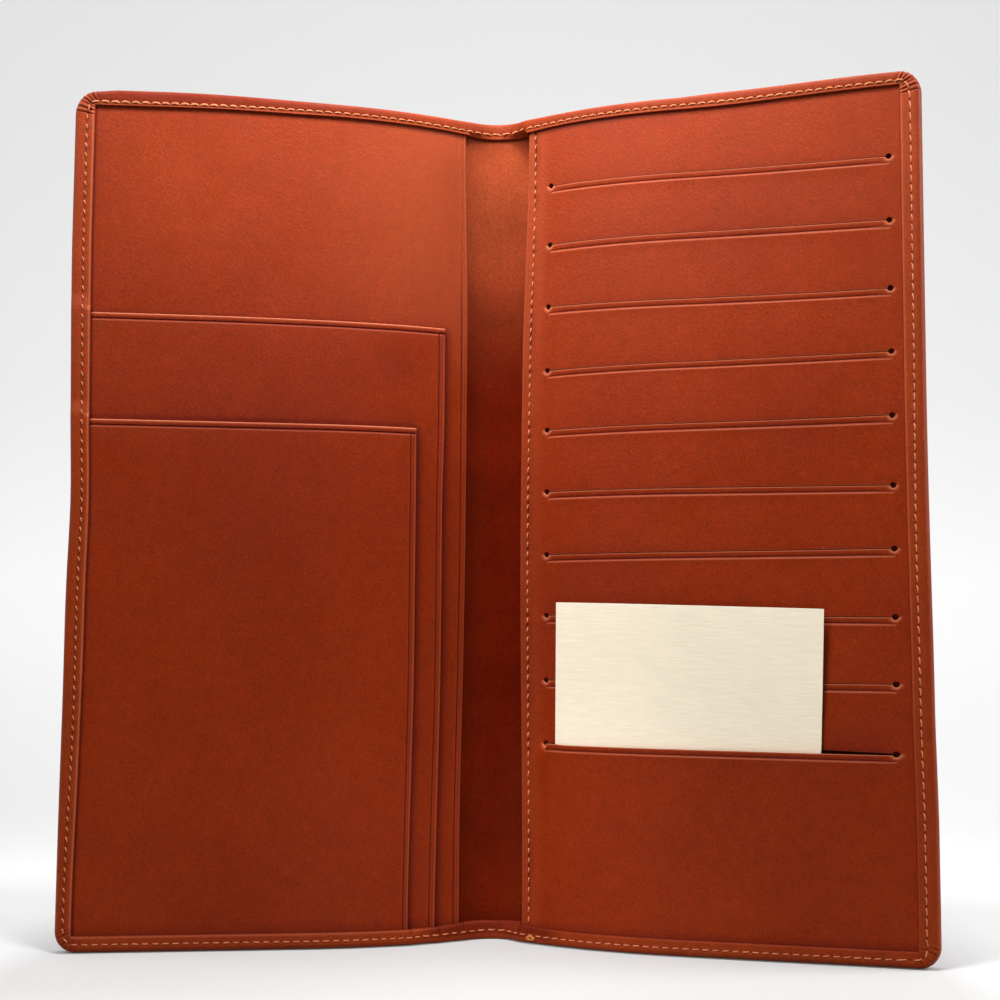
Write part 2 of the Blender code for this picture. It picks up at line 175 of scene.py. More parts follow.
# Paper card
CARD_WIDTH = 67.6 * MM
CARD_SHOWN = 34.8 * MM
CARD_STOCK = 0.3 * MM
CARD_CLEARANCE = 0.3 * MM
CARD_LEFT = SLIT_START + 3.2 * MM
CARD_TILT = math.radians(1.65)
CARD_BOTTOM = 5.2 * MM

# How far each slit, from the top one down, strays upward from its drawn line, in mm
LEFT_STRAY = (0.1, 0.5, 0.2, -0.55, 0.0, 0.0, -0.2, 0.35, -0.1, 0.05)
RIGHT_STRAY = (0.0, 0.2, -0.7, -0.15, 0.3, -0.7, 0.1, -0.3, -0.25, -0.75)
MIDDLE_STRAY = (-0.4, -0.2, -0.5, -0.3, -0.25, 0.0, -0.1, 0.0, 0.0, 0.0)

# Tints of the dyed calf and suede: the calf's clouding, its painted shade, its pale flecks, which also serve
# as its painted highlight, the suede's painted light and the suede's painted shade
DEEP_CALF = (0.74, 0.62, 0.62, 1)
BRIGHT_CALF = (1.18, 1.32, 1.4, 1)
SHADED_CALF = (0.36, 0.07, 0.1, 1)
FLECK_AND_HIGHLIGHT_CALF = (0.5, 0.14, 0.062, 1)
LIT_SUEDE = (2.5, 8.0, 38.0, 1)
SHADED_SUEDE = (0.008, 0.002, 0.001, 1)

# Stage. Each lamp has its place, what it is turned to, its cone in degrees or size, and its watts
CAMERA_PLACE = (0.033554, -0.439997, 0.071905)
CAMERA_TURN = (-4.181, 5.2344, 0.3581)
CAMERA_LENS = 62.65584
FLOOR_SIZE = (5, 2.4)
FLOOR_MIDDLE = -0.3
WALL_HEIGHT = 2.2
WALL_BEND = 0.6
SPOTS = {
    "left_spot": ((-0.35, -0.4, 0.6), (0.03, 0.0, 0.21), 30, 5.3),
    "spine_spot": ((0.0, -0.35, 0.55), (0.0, 0.0, 0.225), 24, 6.7),
    "foot_spot": ((0.0, -0.45, 0.16), (0.004, 0.0, 0.02), 13, 5.0),
    "top_spot": ((0.0, -0.12, 0.42), (0.0, 0.0, 0.2), 100, 5.0),
}
BOXES = {
    "top_strip": ((0.0, -0.1, 0.33), (0.0, 0.0, 0.1), (0.3, 0.06), 0.37),
    "left_box": ((-0.35, -0.35, 0.5), (0.0, 0.0, 0.15), (0.2, 0.2), 1.7),
    "back_box": ((0.0, 0.12, 0.9), (0.0, 0.02, 0.0), (0.6, 0.25), 5.0),
    "right_rim_box": ((0.45, 0.0, 0.3), (0.1, 0.0, 0.12), (0.2, 0.3), 2.2),
    "left_rim_box": ((-0.45, 0.0, 0.3), (-0.1, 0.0, 0.12), (0.2, 0.3), 0.5),
}


def length(name, description, millimetres):
    """A size that a user may change, given in millimetres."""
    return bpy.props.FloatProperty(
        name=name, description=description, default=millimetres * MM, unit="LENGTH", precision=4
    )


def colour(name, description, value):
    """A colour that a user may change."""
    return bpy.props.FloatVectorProperty(
        name=name, description=description, default=value, subtype="COLOR", size=3, min=0, max=1
    )


class WalletSizes(bpy.types.PropertyGroup):
    """Sizes of the made-up details"""

    head_hem: length("Top hem", "Width of the turned edge along the top", 3.7)
    foot_hem: length("Bottom hem", "Width of the turned edge along the bottom", 4.2)
    left_hem: length("Left hem", "Width of the turned edge on the left side", 4.65)
    right_hem: length("Right hem", "Width of the turned edge on the right side", 5.3)
    stitch_pitch: length("Stitch", "Distance from one needle hole to the next", 2.45)
    thread: length("Thread", "Thickness of the sewing thread", 0.34)
    top_crease: length("Top crease", "Distance of the pressed line from a pocket's top edge", 1.48)
    side_crease: length("Side crease", "Distance of the pressed line from a pocket's side edge", 1.5)
    slit_hole: length("Slit hole", "Width of the punched hole at each end of a slit", 1.5)
    seam_inset: length("Panel seam", "Distance of the card panel's seam from its edge", 2.15)


class WalletColours(bpy.types.PropertyGroup):
    """Colours of the leather, cloth, thread and card"""

    leather: colour("Leather", "Calf of the pockets", (0.2, 0.0175, 0.0009))
    hem: colour("Cover", "Calf of the cover and its turned edge", (0.222, 0.0255, 0.0024))
    suede: colour("Suede", "Sueded lining of the spine", (0.077, 0.0041, 0.0003))
    thread: colour("Thread", "Sewing thread", (0.62, 0.205, 0.09))
    knot: colour("Knot", "Sealed end of the thread", (0.5, 0.15, 0.015))
    cloth: colour("Cloth", "Liners behind the slits", (0.1, 0.011, 0.003))
    paper: colour("Card", "Laid paper of the card", (0.72, 0.635, 0.495))


# Flat drawing and rolling


def smooth(share):
    """0 below 0, 1 above 1, and a soft rise between."""
    share = np.clip(share, 0, 1)
    return share * share * (3 - 2 * share)


def bump(distance, width):
    """1 at distance 0, falling to nothing a few widths away."""
    return np.exp(-((distance / width) ** 2))


def ripple(flat):
    """How far the leather wavers forward, the same for every layer at one place."""
    x, z = flat[:, 0] / MM, flat[:, 2] / MM
    wave = 0.06 * np.sin(x / 19 + z / 31 + 0.7) + 0.05 * np.sin(x / 13 - z / 23 + 2.1)
    left = 0.07 * np.sin(x / 27 + 1.3) * np.sin(z / 21 + 0.4) * (x < -20) * smooth((-x - 20) / 15)
    return (wave * smooth((np.abs(x) - 8) / 20) + left) * MM


def rolled(flat):
    """Flat points carried onto the plan of the standing wallet."""
    run = np.abs(flat[:, 0])
    side = np.where(flat[:, 0] < 0, -1.0, 1.0)
    bent = SPINE_ANGLE - (np.clip(run, FOLD_LINE, FLARE_END) - FOLD_LINE) / FLARE_RADIUS
    straight = np.maximum(run - FLARE_END, 0)
    angle = np.where(run <= FOLD_LINE, run / SPINE_RADIUS, bent)
    sin, cos = np.sin(angle), np.cos(angle)
    far_out = SPINE_RADIUS * math.sin(SPINE_ANGLE) + FLARE_RADIUS * (math.sin(SPINE_ANGLE) - sin)
    far_on = SPINE_RADIUS * (1 - math.cos(SPINE_ANGLE)) + FLARE_RADIUS * (cos - math.cos(SPINE_ANGLE))
    out = np.where(run <= FOLD_LINE, SPINE_RADIUS * sin, far_out + straight * cos)
    forward = np.where(run <= FOLD_LINE, SPINE_RADIUS * (1 - cos), far_on + straight * sin)
    lift = -flat[:, 1] - PAGE_DEPTH
    return np.stack([side * (out - lift * sin), -forward - lift * cos - BASE_MIDDLE, flat[:, 2]], 1)


def crept(flat):
    """How far the leather has crept along itself from the drawing, in x and z, in mm."""
    x, z = flat[:, 0] / MM, flat[:, 2] / MM
    run = np.abs(x)
    right = 1.15 * smooth((z - 145) / 60) * bump(run - 8.5, 24)
    right = right - 1.2 * bump(z - 100, 55) * smooth((15 - run) / 7)
    right = right - 0.4 * bump(z - 165, 35) * smooth((9.2 - run) / 1.2)
    edge = 1.4 * smooth((140 - z) / 130) + 0.5 * smooth((62 - z) / 32)
    right = right + edge * smooth((run - 103.2) / 3)
    right = right - 0.5 * smooth((run - 60) / 43) * smooth((80 - z) / 60)
    left = (1.05 * bump(z - 110, 60) + 0.3 * smooth((40 - z) / 40)) * smooth((17 - run) / 8)
    left = left - 1.2 * smooth((75 - z) / 70) * bump(run - 19.5, 9)
    left = left + 0.65 * bump(z - 165, 30) * smooth((13 - run) / 3)
    left = left + 0.45 * smooth((z - 110) / 25) * bump(run - 15.8, 2.6)
    edge = 0.22 + 0.75 * bump(z - 111, 18) + 0.27 * bump(z - 68, 28) - 0.75 * smooth((z - 130) / 50)
    left = left + edge * smooth((run - 90) / 18)
    across = smooth(run / 6) * np.where(x > 0, right, left)
    brim = smooth((z - 211) / 4)
    right = 1.55 * smooth((run - 57) / 50) * smooth((z - 198) / 12) + 0.45 * smooth((run - 50) / 12) * brim
    left = 0.75 * bump(run - 62, 38) * smooth((z - 190) / 20)
    left = left - 0.35 * smooth((75 - run) / 40) * bump(z - 158, 14)
    left = left + (1.3 * smooth((run - 42) / 48) - 0.6 * smooth((run - 100) / 8)) * brim
    middle = 0.5 * bump(x, 7) * smooth((z - 205) / 8)
    return across, middle + smooth(run / 6) * np.where(x > 0, right, left)


def laid(flat):
    """Flat points where the worn leather really lies: crept along itself and wavering forward."""
    across, high = crept(flat)
    return np.stack([flat[:, 0] + across * MM, flat[:, 1] - ripple(flat), flat[:, 2] + high * MM], 1)


# Work on one mesh


def points_of(obj):
    points = np.empty(len(obj.data.vertices) * 3)
    obj.data.vertices.foreach_get("co", points)
    return points.reshape(-1, 3)


def set_points(obj, points):
    obj.data.vertices.foreach_set("co", np.ascontiguousarray(points, np.float32).ravel())
    obj.data.update()


def paint(obj, name, values):
    """Stores a value for each point, which a material reads by this name."""
    attribute = obj.data.attributes.new(name, "FLOAT", "POINT")
    attribute.data.foreach_set("value", np.ascontiguousarray(values, np.float32))


def take(obj):
    """Makes one object the only selected one, and the active one."""
    bpy.ops.object.select_all(action="DESELECT")
    obj.select_set(True)
    bpy.context.view_layer.objects.active = obj


def edit(obj):
    take(obj)
    bpy.ops.object.mode_set(mode="EDIT")
    bpy.ops.mesh.select_all(action="DESELECT")


def leave():
    bpy.ops.object.mode_set(mode="OBJECT")


def named(name):
    """Names the object that an operator has just added."""
    obj = bpy.context.object
    obj.name = name
    obj.data.name = name
    return obj


def settled(name, scale=(1, 1, 1)):
    """Names the object that an operator has just added, scales it and applies its transform."""
    obj = named(name)
    obj.scale = scale
    bpy.ops.object.transform_apply(location=True, rotation=True, scale=True)
    return obj


def pick(obj, kind, wanted):
    """Selects, in edit mode, the faces or the edges that pass the test."""
    bpy.ops.mesh.select_mode(type=kind)
    bm = bmesh.from_edit_mesh(obj.data)
    for part in bm.faces if kind == "FACE" else bm.edges:
        part.select_set(bool(wanted(part)))
    bmesh.update_edit_mesh(obj.data)


def cut(places, axis):
    """Cuts across the mesh in edit mode at these places along one axis."""
    normal = Vector((axis == 0, axis == 1, axis == 2))
    for place in places:
        bpy.ops.mesh.select_all(action="SELECT")
        bpy.ops.mesh.bisect(plane_co=normal * place, plane_no=normal, threshold=1e-7)


def add_leaf(name, low, high, front, steps, fine_x=(), fine_z=()):
    """A flat face towards the reader, between two corners in (x, z), cut across as cut_places says."""
    bpy.ops.object.select_all(action="DESELECT")
    middle = ((low[0] + high[0]) / 2, -front, (low[1] + high[1]) / 2)
    bpy.ops.mesh.primitive_plane_add(size=1, location=middle, rotation=(math.pi / 2, 0, 0))
    obj = settled(name, (high[0] - low[0], high[1] - low[1], 1))
    edit(obj)
    cut(cut_places(low[0], high[0], steps[0], fine_x), 0)
    cut(cut_places(low[1], high[1], steps[1], fine_z), 2)
    leave()
    return obj


def cut_places(low, high, step, fine):
    """Places between low and high: the fine ones, and even ones where no fine one is near."""
    kept = [place for place in fine if low < place < high]
    count = round((high - low) / step)
    even = [low + (high - low) * i / count for i in range(1, count)]
    even = [place for place in even if all(abs(place - other) > 0.35 * step for other in kept)]
    return sorted(kept + even)


def thicken(obj, thickness):
    take(obj)
    solid = obj.modifiers.new("thickness", "SOLIDIFY")
    solid.thickness = thickness
    solid.offset = -1
    bpy.ops.object.modifier_apply(modifier=solid.name)


def round_edges(obj, wanted, width, segments):
    """Rounds the sharp edges whose two ends pass the test."""

    def chosen(edge):
        sharp = edge.is_manifold and edge.calc_face_angle() > SHARP_ANGLE
        return sharp and all(wanted(vert.co) for vert in edge.verts)

    edit(obj)
    pick(obj, "EDGE", chosen)
    bpy.ops.mesh.bevel(offset=width, segments=segments, affect="EDGES", clamp_overlap=True)
    leave()


def round_corners(points, side, head=LEAF_HEAD):
    """Moves the points near a leaf's two outer corners onto rounded ones."""
    radius, middle = LEAF_CORNER, LEAF_SIDE - LEAF_CORNER
    across = (side * points[:, 0] - middle) / radius
    for centre, way in ((LEAF_INSET + radius, -1), (head - radius, 1)):
        up = way * (points[:, 2] - centre) / radius
        near = (across > 0) & (up > 0)
        a, b = np.clip(across, 0, 1), np.clip(up, 0, 1)
        new_a, new_b = a * np.sqrt(1 - b * b / 2), b * np.sqrt(1 - a * a / 2)
        points[:, 0] = np.where(near, side * (middle + radius * new_a), points[:, 0])
        points[:, 2] = np.where(near, centre + way * radius * new_b, points[:, 2])
    return points


def roll_up(obj, material, smooth_angle=40):
    """Rolls a finished flat piece onto the plan, shades it smooth and gives it its material."""
    set_points(obj, rolled(laid(points_of(obj))))
    take(obj)
    bpy.ops.object.shade_smooth_by_angle(angle=math.radians(smooth_angle))
    return finish(obj, material)


def finish(obj, material):
    obj.data.materials.clear()
    obj.data.materials.append(material)
    return obj


# Materials


class Board:
    """Adds nodes to a tree from left to right and joins them."""

    def __init__(self, tree):
        self.tree = tree
        self.count = 0

    def add(self, kind, inputs=(), **settings):
        node = self.tree.nodes.new(kind)
        node.location = (-700 + 180 * (self.count % 8), 400 - 220 * (self.count // 8))
        self.count += 1
        for key, value in settings.items():
            setattr(node, key, value)
        for key, value in dict(inputs).items():
            self.join(value, node.inputs[key])
        return node

    def join(self, value, socket):
        if isinstance(value, bpy.types.NodeSocket):
            self.tree.links.new(value, socket)
        else:
            socket.default_value = value

    def math(self, operation, first, second=0.0, clamp=False):
        node = self.add("ShaderNodeMath", {0: first, 1: second}, operation=operation, use_clamp=clamp)
        return node.outputs[0]

    def total(self, first, *others):
        for value in others:
            first = self.math("ADD", first, value)
        return first

    def product(self, first, second):
        return self.math("MULTIPLY", first, second)

    def mix(self, share, first, second, blend="MIX"):
        node = self.add("ShaderNodeMix", data_type="RGBA", blend_type=blend)
        for index, value in ((0, share), (6, first), (7, second)):
            self.join(value, node.inputs[index])
        return node.outputs[2]

    def tinted(self, tone, tint):
        """A colour multiplied by another one, or by a brightness."""
        return self.mix(1.0, tone, tint, "MULTIPLY")

    def span(self, value, low, high, to_low=0.0, to_high=1.0):
        inputs = {0: value, 1: low, 2: high, 3: to_low, 4: to_high}
        return self.add("ShaderNodeMapRange", inputs).outputs[0]

    def noise(self, place, scale, detail, roughness):
        inputs = {"Vector": place, "Scale": scale, "Detail": detail, "Roughness": roughness}
        return self.add("ShaderNodeTexNoise", inputs).outputs["Fac"]

    def drawn_out(self, place, turn, scale):
        """Coordinates in which a pattern is turned, then drawn out by these scales."""
        inputs = {"Vector": place, "Rotation": turn, "Scale": scale}
        return self.add("ShaderNodeMapping", inputs, vector_type="TEXTURE").outputs[0]

    def parts(self, place):
        """The X, Y and Z of a place."""
        return self.add("ShaderNodeSeparateXYZ", {"Vector": place}).outputs

    def effect(self, name, inputs):
        """What comes out of one of the shared effects."""
        return self.add("ShaderNodeGroup", inputs, node_tree=bpy.data.node_groups[name]).outputs


class Effect(Board):
    """A shared node group: its inputs are named with their first values, its outputs with kinds."""

    def __init__(self, name, inputs, outputs):
        super().__init__(bpy.data.node_groups.new(name, "ShaderNodeTree"))
        face = self.tree.interface
        for socket, value in inputs.items():
            size = 1 if isinstance(value, float) else len(value)
            kind = {1: "NodeSocketFloat", 3: "NodeSocketVector", 4: "NodeSocketColor"}[size]
            face.new_socket(socket, in_out="INPUT", socket_type=kind).default_value = value
        for socket, kind in outputs.items():
            face.new_socket(socket, in_out="OUTPUT", socket_type=kind)
        start = self.tree.nodes.new("NodeGroupInput")
        self.end = self.tree.nodes.new("NodeGroupOutput")
        start.location = (-900, 0)
        self.end.location = (900, 0)
        self.given = start.outputs

    def give(self, name, value):
        self.join(value, self.end.inputs[name])


class Surface(Board):
    """A material: its nodes, its Principled shader and the Object coordinates."""

    def __init__(self, name):
        self.material = bpy.data.materials.new(name)
        self.material.use_nodes = True
        super().__init__(self.material.node_tree)
        self.tree.nodes.clear()
        out = self.tree.nodes.new("ShaderNodeOutputMaterial")
        self.shader = self.tree.nodes.new("ShaderNodeBsdfPrincipled")
        out.location = (1300, 0)
        self.shader.location = (1000, 0)
        self.join(self.shader.outputs[0], out.inputs["Surface"])
        self.place = self.add("ShaderNodeTexCoord").outputs["Object"]

    def stored(self, name):
        """The value that is painted on each point under this name."""
        return self.add("ShaderNodeAttribute", attribute_name=name).outputs["Fac"]

    def nap(self, scale, clumps):
        return self.effect("Fibre nap", {"Place": self.place, "Scale": scale, "Clumps": clumps})

    def dress(self, tone, roughness, specular):
        self.join(tone, self.shader.inputs["Base Color"])
        self.join(roughness, self.shader.inputs["Roughness"])
        self.shader.inputs["Specular IOR Level"].default_value = specular

    def emboss(self, height, strength, distance):
        inputs = {"Height": height, "Strength": strength, "Distance": distance}
        self.join(self.add("ShaderNodeBump", inputs).outputs["Normal"], self.shader.inputs["Normal"])


def dyed(base, share=1.0):
    """A colour with its alpha, made darker or lighter."""
    return (*(part * share for part in base), 1)


def leather_tone_effect():
    """Colour of dyed calf: clouding, fine mottling and pale flecks, with painted shade and painted highlights
    mixed in.
    """
    inputs = {"Place": (0, 0, 0), "Colour": (0.2, 0.02, 0.004, 1), "Clouding": 0.5, "Mottle": 0.5}
    inputs.update({"Grain": 0.25, "Shade": 0.0, "Worn": 0.0})
    board = Effect("Leather tone", inputs, {"Colour": "NodeSocketColor"})
    place, base = board.given["Place"], board.given["Colour"]
    cloud = board.span(board.noise(place, 26.0, 5.0, 0.62), 0.32, 0.68)
    clouds = board.mix(cloud, board.tinted(base, DEEP_CALF), board.tinted(base, BRIGHT_CALF))
    tone = board.mix(board.given["Clouding"], base, clouds)
    small = board.span(board.noise(place, 330.0, 3.0, 0.6), 0.3, 0.7, 0.91, 1.09)
    fine = board.span(board.noise(place, 1900.0, 2.0, 0.7), 0.32, 0.68, 0.75, 1.25)
    creased = board.span(board.given["Grain"], 0.15, 0.75, 0.86, 1.12)
    speckled = board.tinted(board.tinted(board.tinted(tone, small), fine), creased)
    tone = board.mix(board.given["Mottle"], tone, speckled)
    cells = board.add("ShaderNodeTexVoronoi", {"Vector": place, "Scale": 110.0})
    dot = board.math("LESS_THAN", cells.outputs["Distance"], 0.028)
    chosen = board.add("ShaderNodeSeparateColor", {"Color": cells.outputs["Color"]}).outputs["Red"]
    fleck = board.product(dot, board.math("GREATER_THAN", chosen, 0.9))
    tone = board.mix(board.product(fleck, 0.35), tone, FLECK_AND_HIGHLIGHT_CALF)
    # Painted highlights, pale where the light catches edges and lips
    tone = board.mix(board.given["Worn"], tone, FLECK_AND_HIGHLIGHT_CALF)
    # Painted shade, and the darker painted patches
    board.give("Colour", board.mix(board.given["Shade"], tone, board.tinted(tone, SHADED_CALF)))


def grain_effect():
    """Height of calf grain: small cells, fine pores, and slanting wrinkles that come in patches."""
    inputs = {"Place": (0, 0, 0), "Cell scale": 1900.0, "Wrinkle": 0.3}
    board = Effect("Calf grain", inputs, {"Height": "NodeSocketFloat"})
    place = board.given["Place"]
    cells = {"Vector": place, "Scale": board.given["Cell scale"]}
    cells = board.add("ShaderNodeTexVoronoi", cells, feature="SMOOTH_F1").outputs["Distance"]
    pores = board.span(board.noise(place, 3000.0, 2.0, 0.6), 0.3, 0.7)
    drawn = board.drawn_out(place, (0.0, math.radians(-45), 0.0), (1.0, 1.0, 3.2))
    wrinkles = board.span(board.noise(drawn, 2600.0, 1.0, 0.5), 0.32, 0.68)
    patch = board.span(board.noise(place, 45.0, 2.0, 0.5), 0.35, 0.65, 0.3, 1.0)
    patch = board.product(patch, board.span(board.parts(place)["Z"], 0.06, 0.16, 0.3, 1.0))
    wrinkles = board.product(wrinkles, board.product(patch, board.given["Wrinkle"]))
    board.give("Height", board.total(board.product(cells, -0.25), board.product(pores, 0.35), wrinkles))


def fibre_effect():
    """Nap of suede, cloth or paper: short fibres at one scale, with softer clumps."""
    inputs = {"Place": (0, 0, 0), "Scale": 1500.0, "Clumps": 60.0}
    board = Effect("Fibre nap", inputs, {"Fibre": "NodeSocketFloat", "Clump": "NodeSocketFloat"})
    place = board.given["Place"]
    board.give("Fibre", board.noise(place, board.given["Scale"], 3.0, 0.7))
    board.give("Clump", board.noise(place, board.given["Clumps"], 4.0, 0.6))


def leather_material(name, base, clouding, mottle, cells, roughness):
    """Dyed calf with a low polish."""
    board = Surface(name)
    place, shade = board.place, board.stored("shade")
    # A painted sheen, lighter towards the top of the wallet, added to the painted highlights
    painted_sheen = board.span(board.parts(place)["Z"], 0.12, 0.2, 0.0, 0.05)
    inputs = {"Place": place, "Cell scale": cells, "Wrinkle": 0.6}
    grain = board.effect("Calf grain", inputs)["Height"]
    inputs = {"Place": place, "Colour": dyed(base), "Clouding": clouding, "Mottle": mottle}
    inputs.update({"Grain": grain, "Shade": shade, "Worn": board.total(board.stored("painted_light"), painted_sheen)})
    rough = board.span(board.noise(place, 90.0, 3.0, 0.6), 0.3, 0.7, roughness - 0.06, roughness + 0.08)
    rough = board.math("ADD", rough, board.product(shade, 0.3), True)
    board.dress(board.effect("Leather tone", inputs)["Colour"], rough, 0.09)
    board.emboss(grain, 0.6, 0.00012)


def suede_material(name, base):
    """Sueded lining with a soft nap."""
    board = Surface(name)
    nap = board.nap(1300.0, 45.0)
    tone = board.mix(board.span(nap["Clump"], 0.3, 0.7), dyed(base, 0.78), dyed(base, 1.25))
    # Painted light where the suede is marked brighter
    tone = board.mix(board.stored("painted_light"), tone, board.tinted(tone, LIT_SUEDE))
    tone = board.tinted(tone, board.span(nap["Fibre"], 0.25, 0.75, 0.75, 1.25))
    # Painted shade under the hems and beside the card panel's edge
    board.dress(board.mix(board.stored("shade"), tone, SHADED_SUEDE), 0.95, 0.025)
    board.emboss(nap["Fibre"], 0.35, 0.00015)


def cloth_material(name, base):
    """Thin woven liner cloth."""
    board = Surface(name)
    rows = {"Vector": board.place, "Scale": 900.0, "Distortion": 0.4}
    threads = (board.add("ShaderNodeTexWave", rows, bands_direction=way) for way in "XZ")
    weave = board.total(*(board.product(thread.outputs["Fac"], 0.5) for thread in threads))
    tone = board.mix(board.nap(2200.0, 80.0)["Clump"], dyed(base, 0.7), dyed(base, 1.4))
    board.dress(board.mix(0.5, tone, board.tinted(tone, weave)), 0.9, 0.2)
    board.emboss(weave, 0.3, 0.00008)


def paper_material(name, base):
    """Laid paper with close ribs along the card."""
    board = Surface(name)
    nap = board.nap(900.0, 150.0)
    long = board.drawn_out(board.place, (0.0, CARD_TILT, 0.0), (14.0, 14.0, 1.0))
    ribs = board.noise(long, 2600.0, 1.0, 0.5)
    tone = board.tinted(dyed(base), board.span(ribs, 0.35, 0.65, 0.965, 1.02))
    tone = board.tinted(tone, board.span(nap["Clump"], 0.3, 0.7, 0.985, 1.015))
    board.dress(tone, 0.85, 0.25)
    board.emboss(board.total(ribs, board.product(nap["Fibre"], 0.35)), 0.25, 0.0001)


def thread_material(name, base):
    """Waxed polyester thread, its plies twisted along the stitch."""
    board = Surface(name)
    along = board.add("ShaderNodeUVMap", uv_map="UVMap").outputs["UV"]
    plies = {"Vector": along, "Scale": 3.0, "Distortion": 0.6}
    twist = board.add("ShaderNodeTexWave", plies, bands_direction="DIAGONAL").outputs["Fac"]
    fleck = board.span(board.noise(board.place, 420.0, 2.0, 0.6), 0.3, 0.7, 0.82, 1.15)
    board.dress(board.tinted(board.mix(twist, dyed(base, 0.62), dyed(base)), fleck), 0.6, 0.15)
    board.emboss(twist, 0.5, 0.00008)


def knot_material(name, base):
    """Melted, waxy end of the thread."""
    board = Surface(name)
    streak = board.noise(board.place, 1400.0, 2.0, 0.5)
    tone = board.mix(board.span(streak, 0.3, 0.7), dyed(base, 0.45), dyed(base))
    board.dress(tone, 0.28, 0.5)
    board.emboss(streak, 0.2, 0.0001)


def stage_material(name, base):
    """Matt pale surface that the camera sees brighter far back, with its shadows kept in front."""
    board = Surface(name)
    board.dress(dyed(base), 0.9, 0.2)
    x, y, z = board.parts(board.place)
    back = board.span(y, -0.06, 0.12, 0.0, 0.34)
    wall = board.span(y, 0.22, 0.6, 0.0, 0.175)
    near = board.span(y, -0.03, 0.12, 1.0, 0.0)
    beside = board.span(board.math("ABSOLUTE", x), 0.105, 0.13, 0.0, 0.22)
    lift = board.span(z, 0.0, 0.12, 0.0, 0.13)
    fall = board.span(z, 0.12, 0.26, 0.0, -0.05)
    # Painted light: a glow that only camera and glossy rays see, brighter far back and lifting the wallet's
    # shadow on the floor beside its foot
    glow = board.total(back, wall, lift, fall, board.product(near, beside))
    seen = board.add("ShaderNodeLightPath").outputs
    direct = board.math("ADD", seen["Is Camera Ray"], seen["Is Glossy Ray"], True)
    board.join(board.product(direct, glow), board.shader.inputs["Emission Strength"])
    board.shader.inputs["Emission Color"].default_value = (1, 1, 1, 1)
    return board.material


# Cover with its turned edge


def climb(along, place, rise, way, ramp):
    """A step of the hem onto a layer whose edge is at this place: way 1 as along grows, else -1."""
    start = place - way * (LAYER_GAP + ramp)
    return rise * smooth(way * (along - start) / ramp)


def hem_fronts(side, x, z, part, soft=False):
    """Depth of the hem's front face where it passes over the pockets' edges, sharply or softly."""
    layer = LAYER_GAP + POCKET_LEATHER
    spine_ramp, ramp = (SPINE_RAMP, SOFT_RAMP) if soft else (RAMP, RAMP)
    if side > 0:
        panel = PANEL_FRONT + HEM_RISE - FOLD_DEPTH
        return FOLD_DEPTH + climb(x, CARD_EDGE, panel, 1, spine_ramp)
    front = FOLD_DEPTH + climb(x, BILL_EDGE, layer, 1, spine_ramp)
    if part == "foot":
        return front + climb(x, TICKET_EDGE, layer, 1, ramp) + climb(x, PASSPORT_EDGE, layer, 1, ramp)
    if part == "side":
        return front + climb(z, PASSPORT_TOP, layer, -1, ramp) + climb(z, TICKET_TOP, layer, -1, ramp)
    return front


def hem_end(hem, stitch, outer_hem, outer_stitch):
    """Stations of one end's hem and its corner, drawn at the foot from the spine out.

    The columns are the outer point, the inner point, the width, the stitch line's distance and
    how far the corner is turned.
    """
    start = HALF_WIDTH - CORNER_ZONE
    across = np.linspace(0, start, round(start / HEM_STEP) + 1)
    zero = np.zeros_like(across)
    width, line = hem(across), stitch(across)
    run = np.stack([across, zero, across, width, width, line, zero], 1)
    bend = CORNER_ZONE - CORNER_RADIUS
    whole = 2 * bend + math.pi / 2 * CORNER_RADIUS
    steps = round(whole / CORNER_STEP)
    share = np.arange(1, steps) / steps
    far = share * whole
    angle = np.clip((far - bend) / CORNER_RADIUS, 0, math.pi / 2)
    straight = HALF_WIDTH - CORNER_RADIUS + CORNER_RADIUS * np.sin(angle)
    x = np.where(far < bend, start + far, straight)
    z = np.where(far < bend, 0, CORNER_RADIUS * (1 - np.cos(angle)) + np.maximum(far - whole + bend, 0))
    inner_x = start + np.minimum(share * 2, 1) * (CORNER_ZONE - outer_hem)
    inner_z = width[-1] + np.maximum(share * 2 - 1, 0) * (CORNER_ZONE - width[-1])
    widths = width[-1] + share * (outer_hem - width[-1])
    lines = line[-1] + share * (outer_stitch - line[-1])
    return np.concatenate([run, np.stack([x, z, inner_x, inner_z, widths, lines, share], 1)])


def flank_width(side, up, sizes):
    """Width of the turned edge along a half's outer side, at these heights."""
    if side > 0:
        return sizes.right_hem + 0 * up
    z = up / MM
    wider = 0.4 * smooth((z - 100) / 60) + 0.4 * bump(z - 84, 30) - 0.45 * smooth((45 - z) / 35)
    return sizes.left_hem + wider * MM


def flank_stitch(side, up):
    """Distance of the stitch line from a half's outer side, at these heights."""
    z = up / MM
    return (2.8 + 0.5 * smooth((150 - z) / 60) if side > 0 else 2.95 - 0.9 * smooth((60 - z) / 50)) * MM


